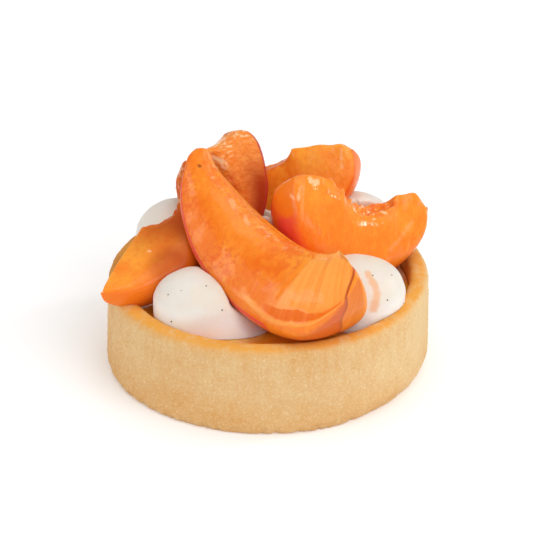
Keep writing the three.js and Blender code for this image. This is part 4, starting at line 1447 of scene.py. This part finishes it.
# %% Jelly
JELLY_RADIUS = 31.0  # a little into the wall, so that no gap shows where they meet
JELLY_BOTTOM = 3.3
JELLY_CLIMB = 0.35
JELLY_RINGS = 70
JELLY_POINTS = 260
JELLY_ORANGE = (1.0, 0.40, 0.04)
JELLY_DEEP = (1.0, 0.27, 0.02)
JELLY_CLEAR = (1.0, 0.43, 0.045)
JELLY_SCATTER = (1.0, 0.25, 0.06)

def jelly_material():
    material, tree, shader = new_material(
        "apricot_jelly", JELLY_ORANGE, Roughness=0.12, Subsurface_Weight=0.7,
        Subsurface_Scale=0.005, IOR=1.42, Coat_Weight=1.0, Coat_Roughness=0.03)
    shader.inputs["Subsurface Radius"].default_value = JELLY_SCATTER
    cloud = noise(tree, 180.0, 3.0, 0.5)
    colour = tint(tree, JELLY_DEEP, JELLY_CLEAR, ramp(tree, cloud, 0.35, 0.7))
    tree.links.new(colour, shader.inputs["Base Color"])
    tree.links.new(bump(tree, noise(tree, 320.0, 2.0, 0.5), 0.15), shader.inputs["Normal"])
    return material

def build_jelly():
    top = np.linspace(0.02, 1, JELLY_RINGS)[::-1] * JELLY_RADIUS
    radii = np.concatenate([[JELLY_RADIUS * 0.5, JELLY_RADIUS, JELLY_RADIUS], top[1:]])
    climb = JELLY_CLIMB * smooth_step(JELLY_RADIUS - 1.8, JELLY_RADIUS, top[1:])
    wall = [JELLY_BOTTOM, JELLY_BOTTOM, JELLY_TOP + JELLY_CLIMB]
    heights = np.concatenate([wall, JELLY_TOP + climb])
    around = np.arange(JELLY_POINTS) / JELLY_POINTS * 2 * np.pi
    rings = np.stack([
        radii[:, None] * np.cos(around), radii[:, None] * np.sin(around),
        heights[:, None] + 0 * around], axis=-1)
    points = np.concatenate([[[0, 0, JELLY_BOTTOM]], rings.reshape(-1, 3), [[0, 0, JELLY_TOP]]])
    ripple = 0.12 * soft_noise(points, 5.0, 21) * (points[:, 2] > JELLY_TOP - 0.5)
    points[:, 2] += ripple
    return make_piece("jelly_fill", points, grid_faces(len(radii), JELLY_POINTS))

jelly = build_jelly()
jelly.data.materials.append(jelly_material())
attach(jelly, "root")
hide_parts("filling")
print("jelly points:", len(jelly.data.vertices))

# %% [markdown]
# ## Floor
#
# A large pale floor that glows a little, so that it stays even right round the tart. It
# is no part of the tart.

# %% Floor
FLOOR_SIZE = 6.0
FLOOR_WHITE = (0.93, 0.93, 0.93)
FLOOR_GLOW = 0.12

def pale_floor():
    mesh = bpy.data.meshes.new("floor")
    h = FLOOR_SIZE / 2
    mesh.from_pydata([(-h, -h, 0), (h, -h, 0), (h, h, 0), (-h, h, 0)], [], [(0, 1, 2, 3)])
    plane = bpy.data.objects.new("floor", mesh)
    bpy.context.scene.collection.objects.link(plane)
    material, _, shader = new_material(
        "pale_floor", FLOOR_WHITE, Roughness=0.9, Emission_Strength=FLOOR_GLOW)
    shader.inputs["Emission Color"].default_value = (1, 1, 1, 1)
    plane.data.materials.append(material)
    return plane

pale_floor()
print("floor ready")

# %% [markdown]
# ## Close the lesson
#
# The last cell hands the scene over.

print("lesson closed")
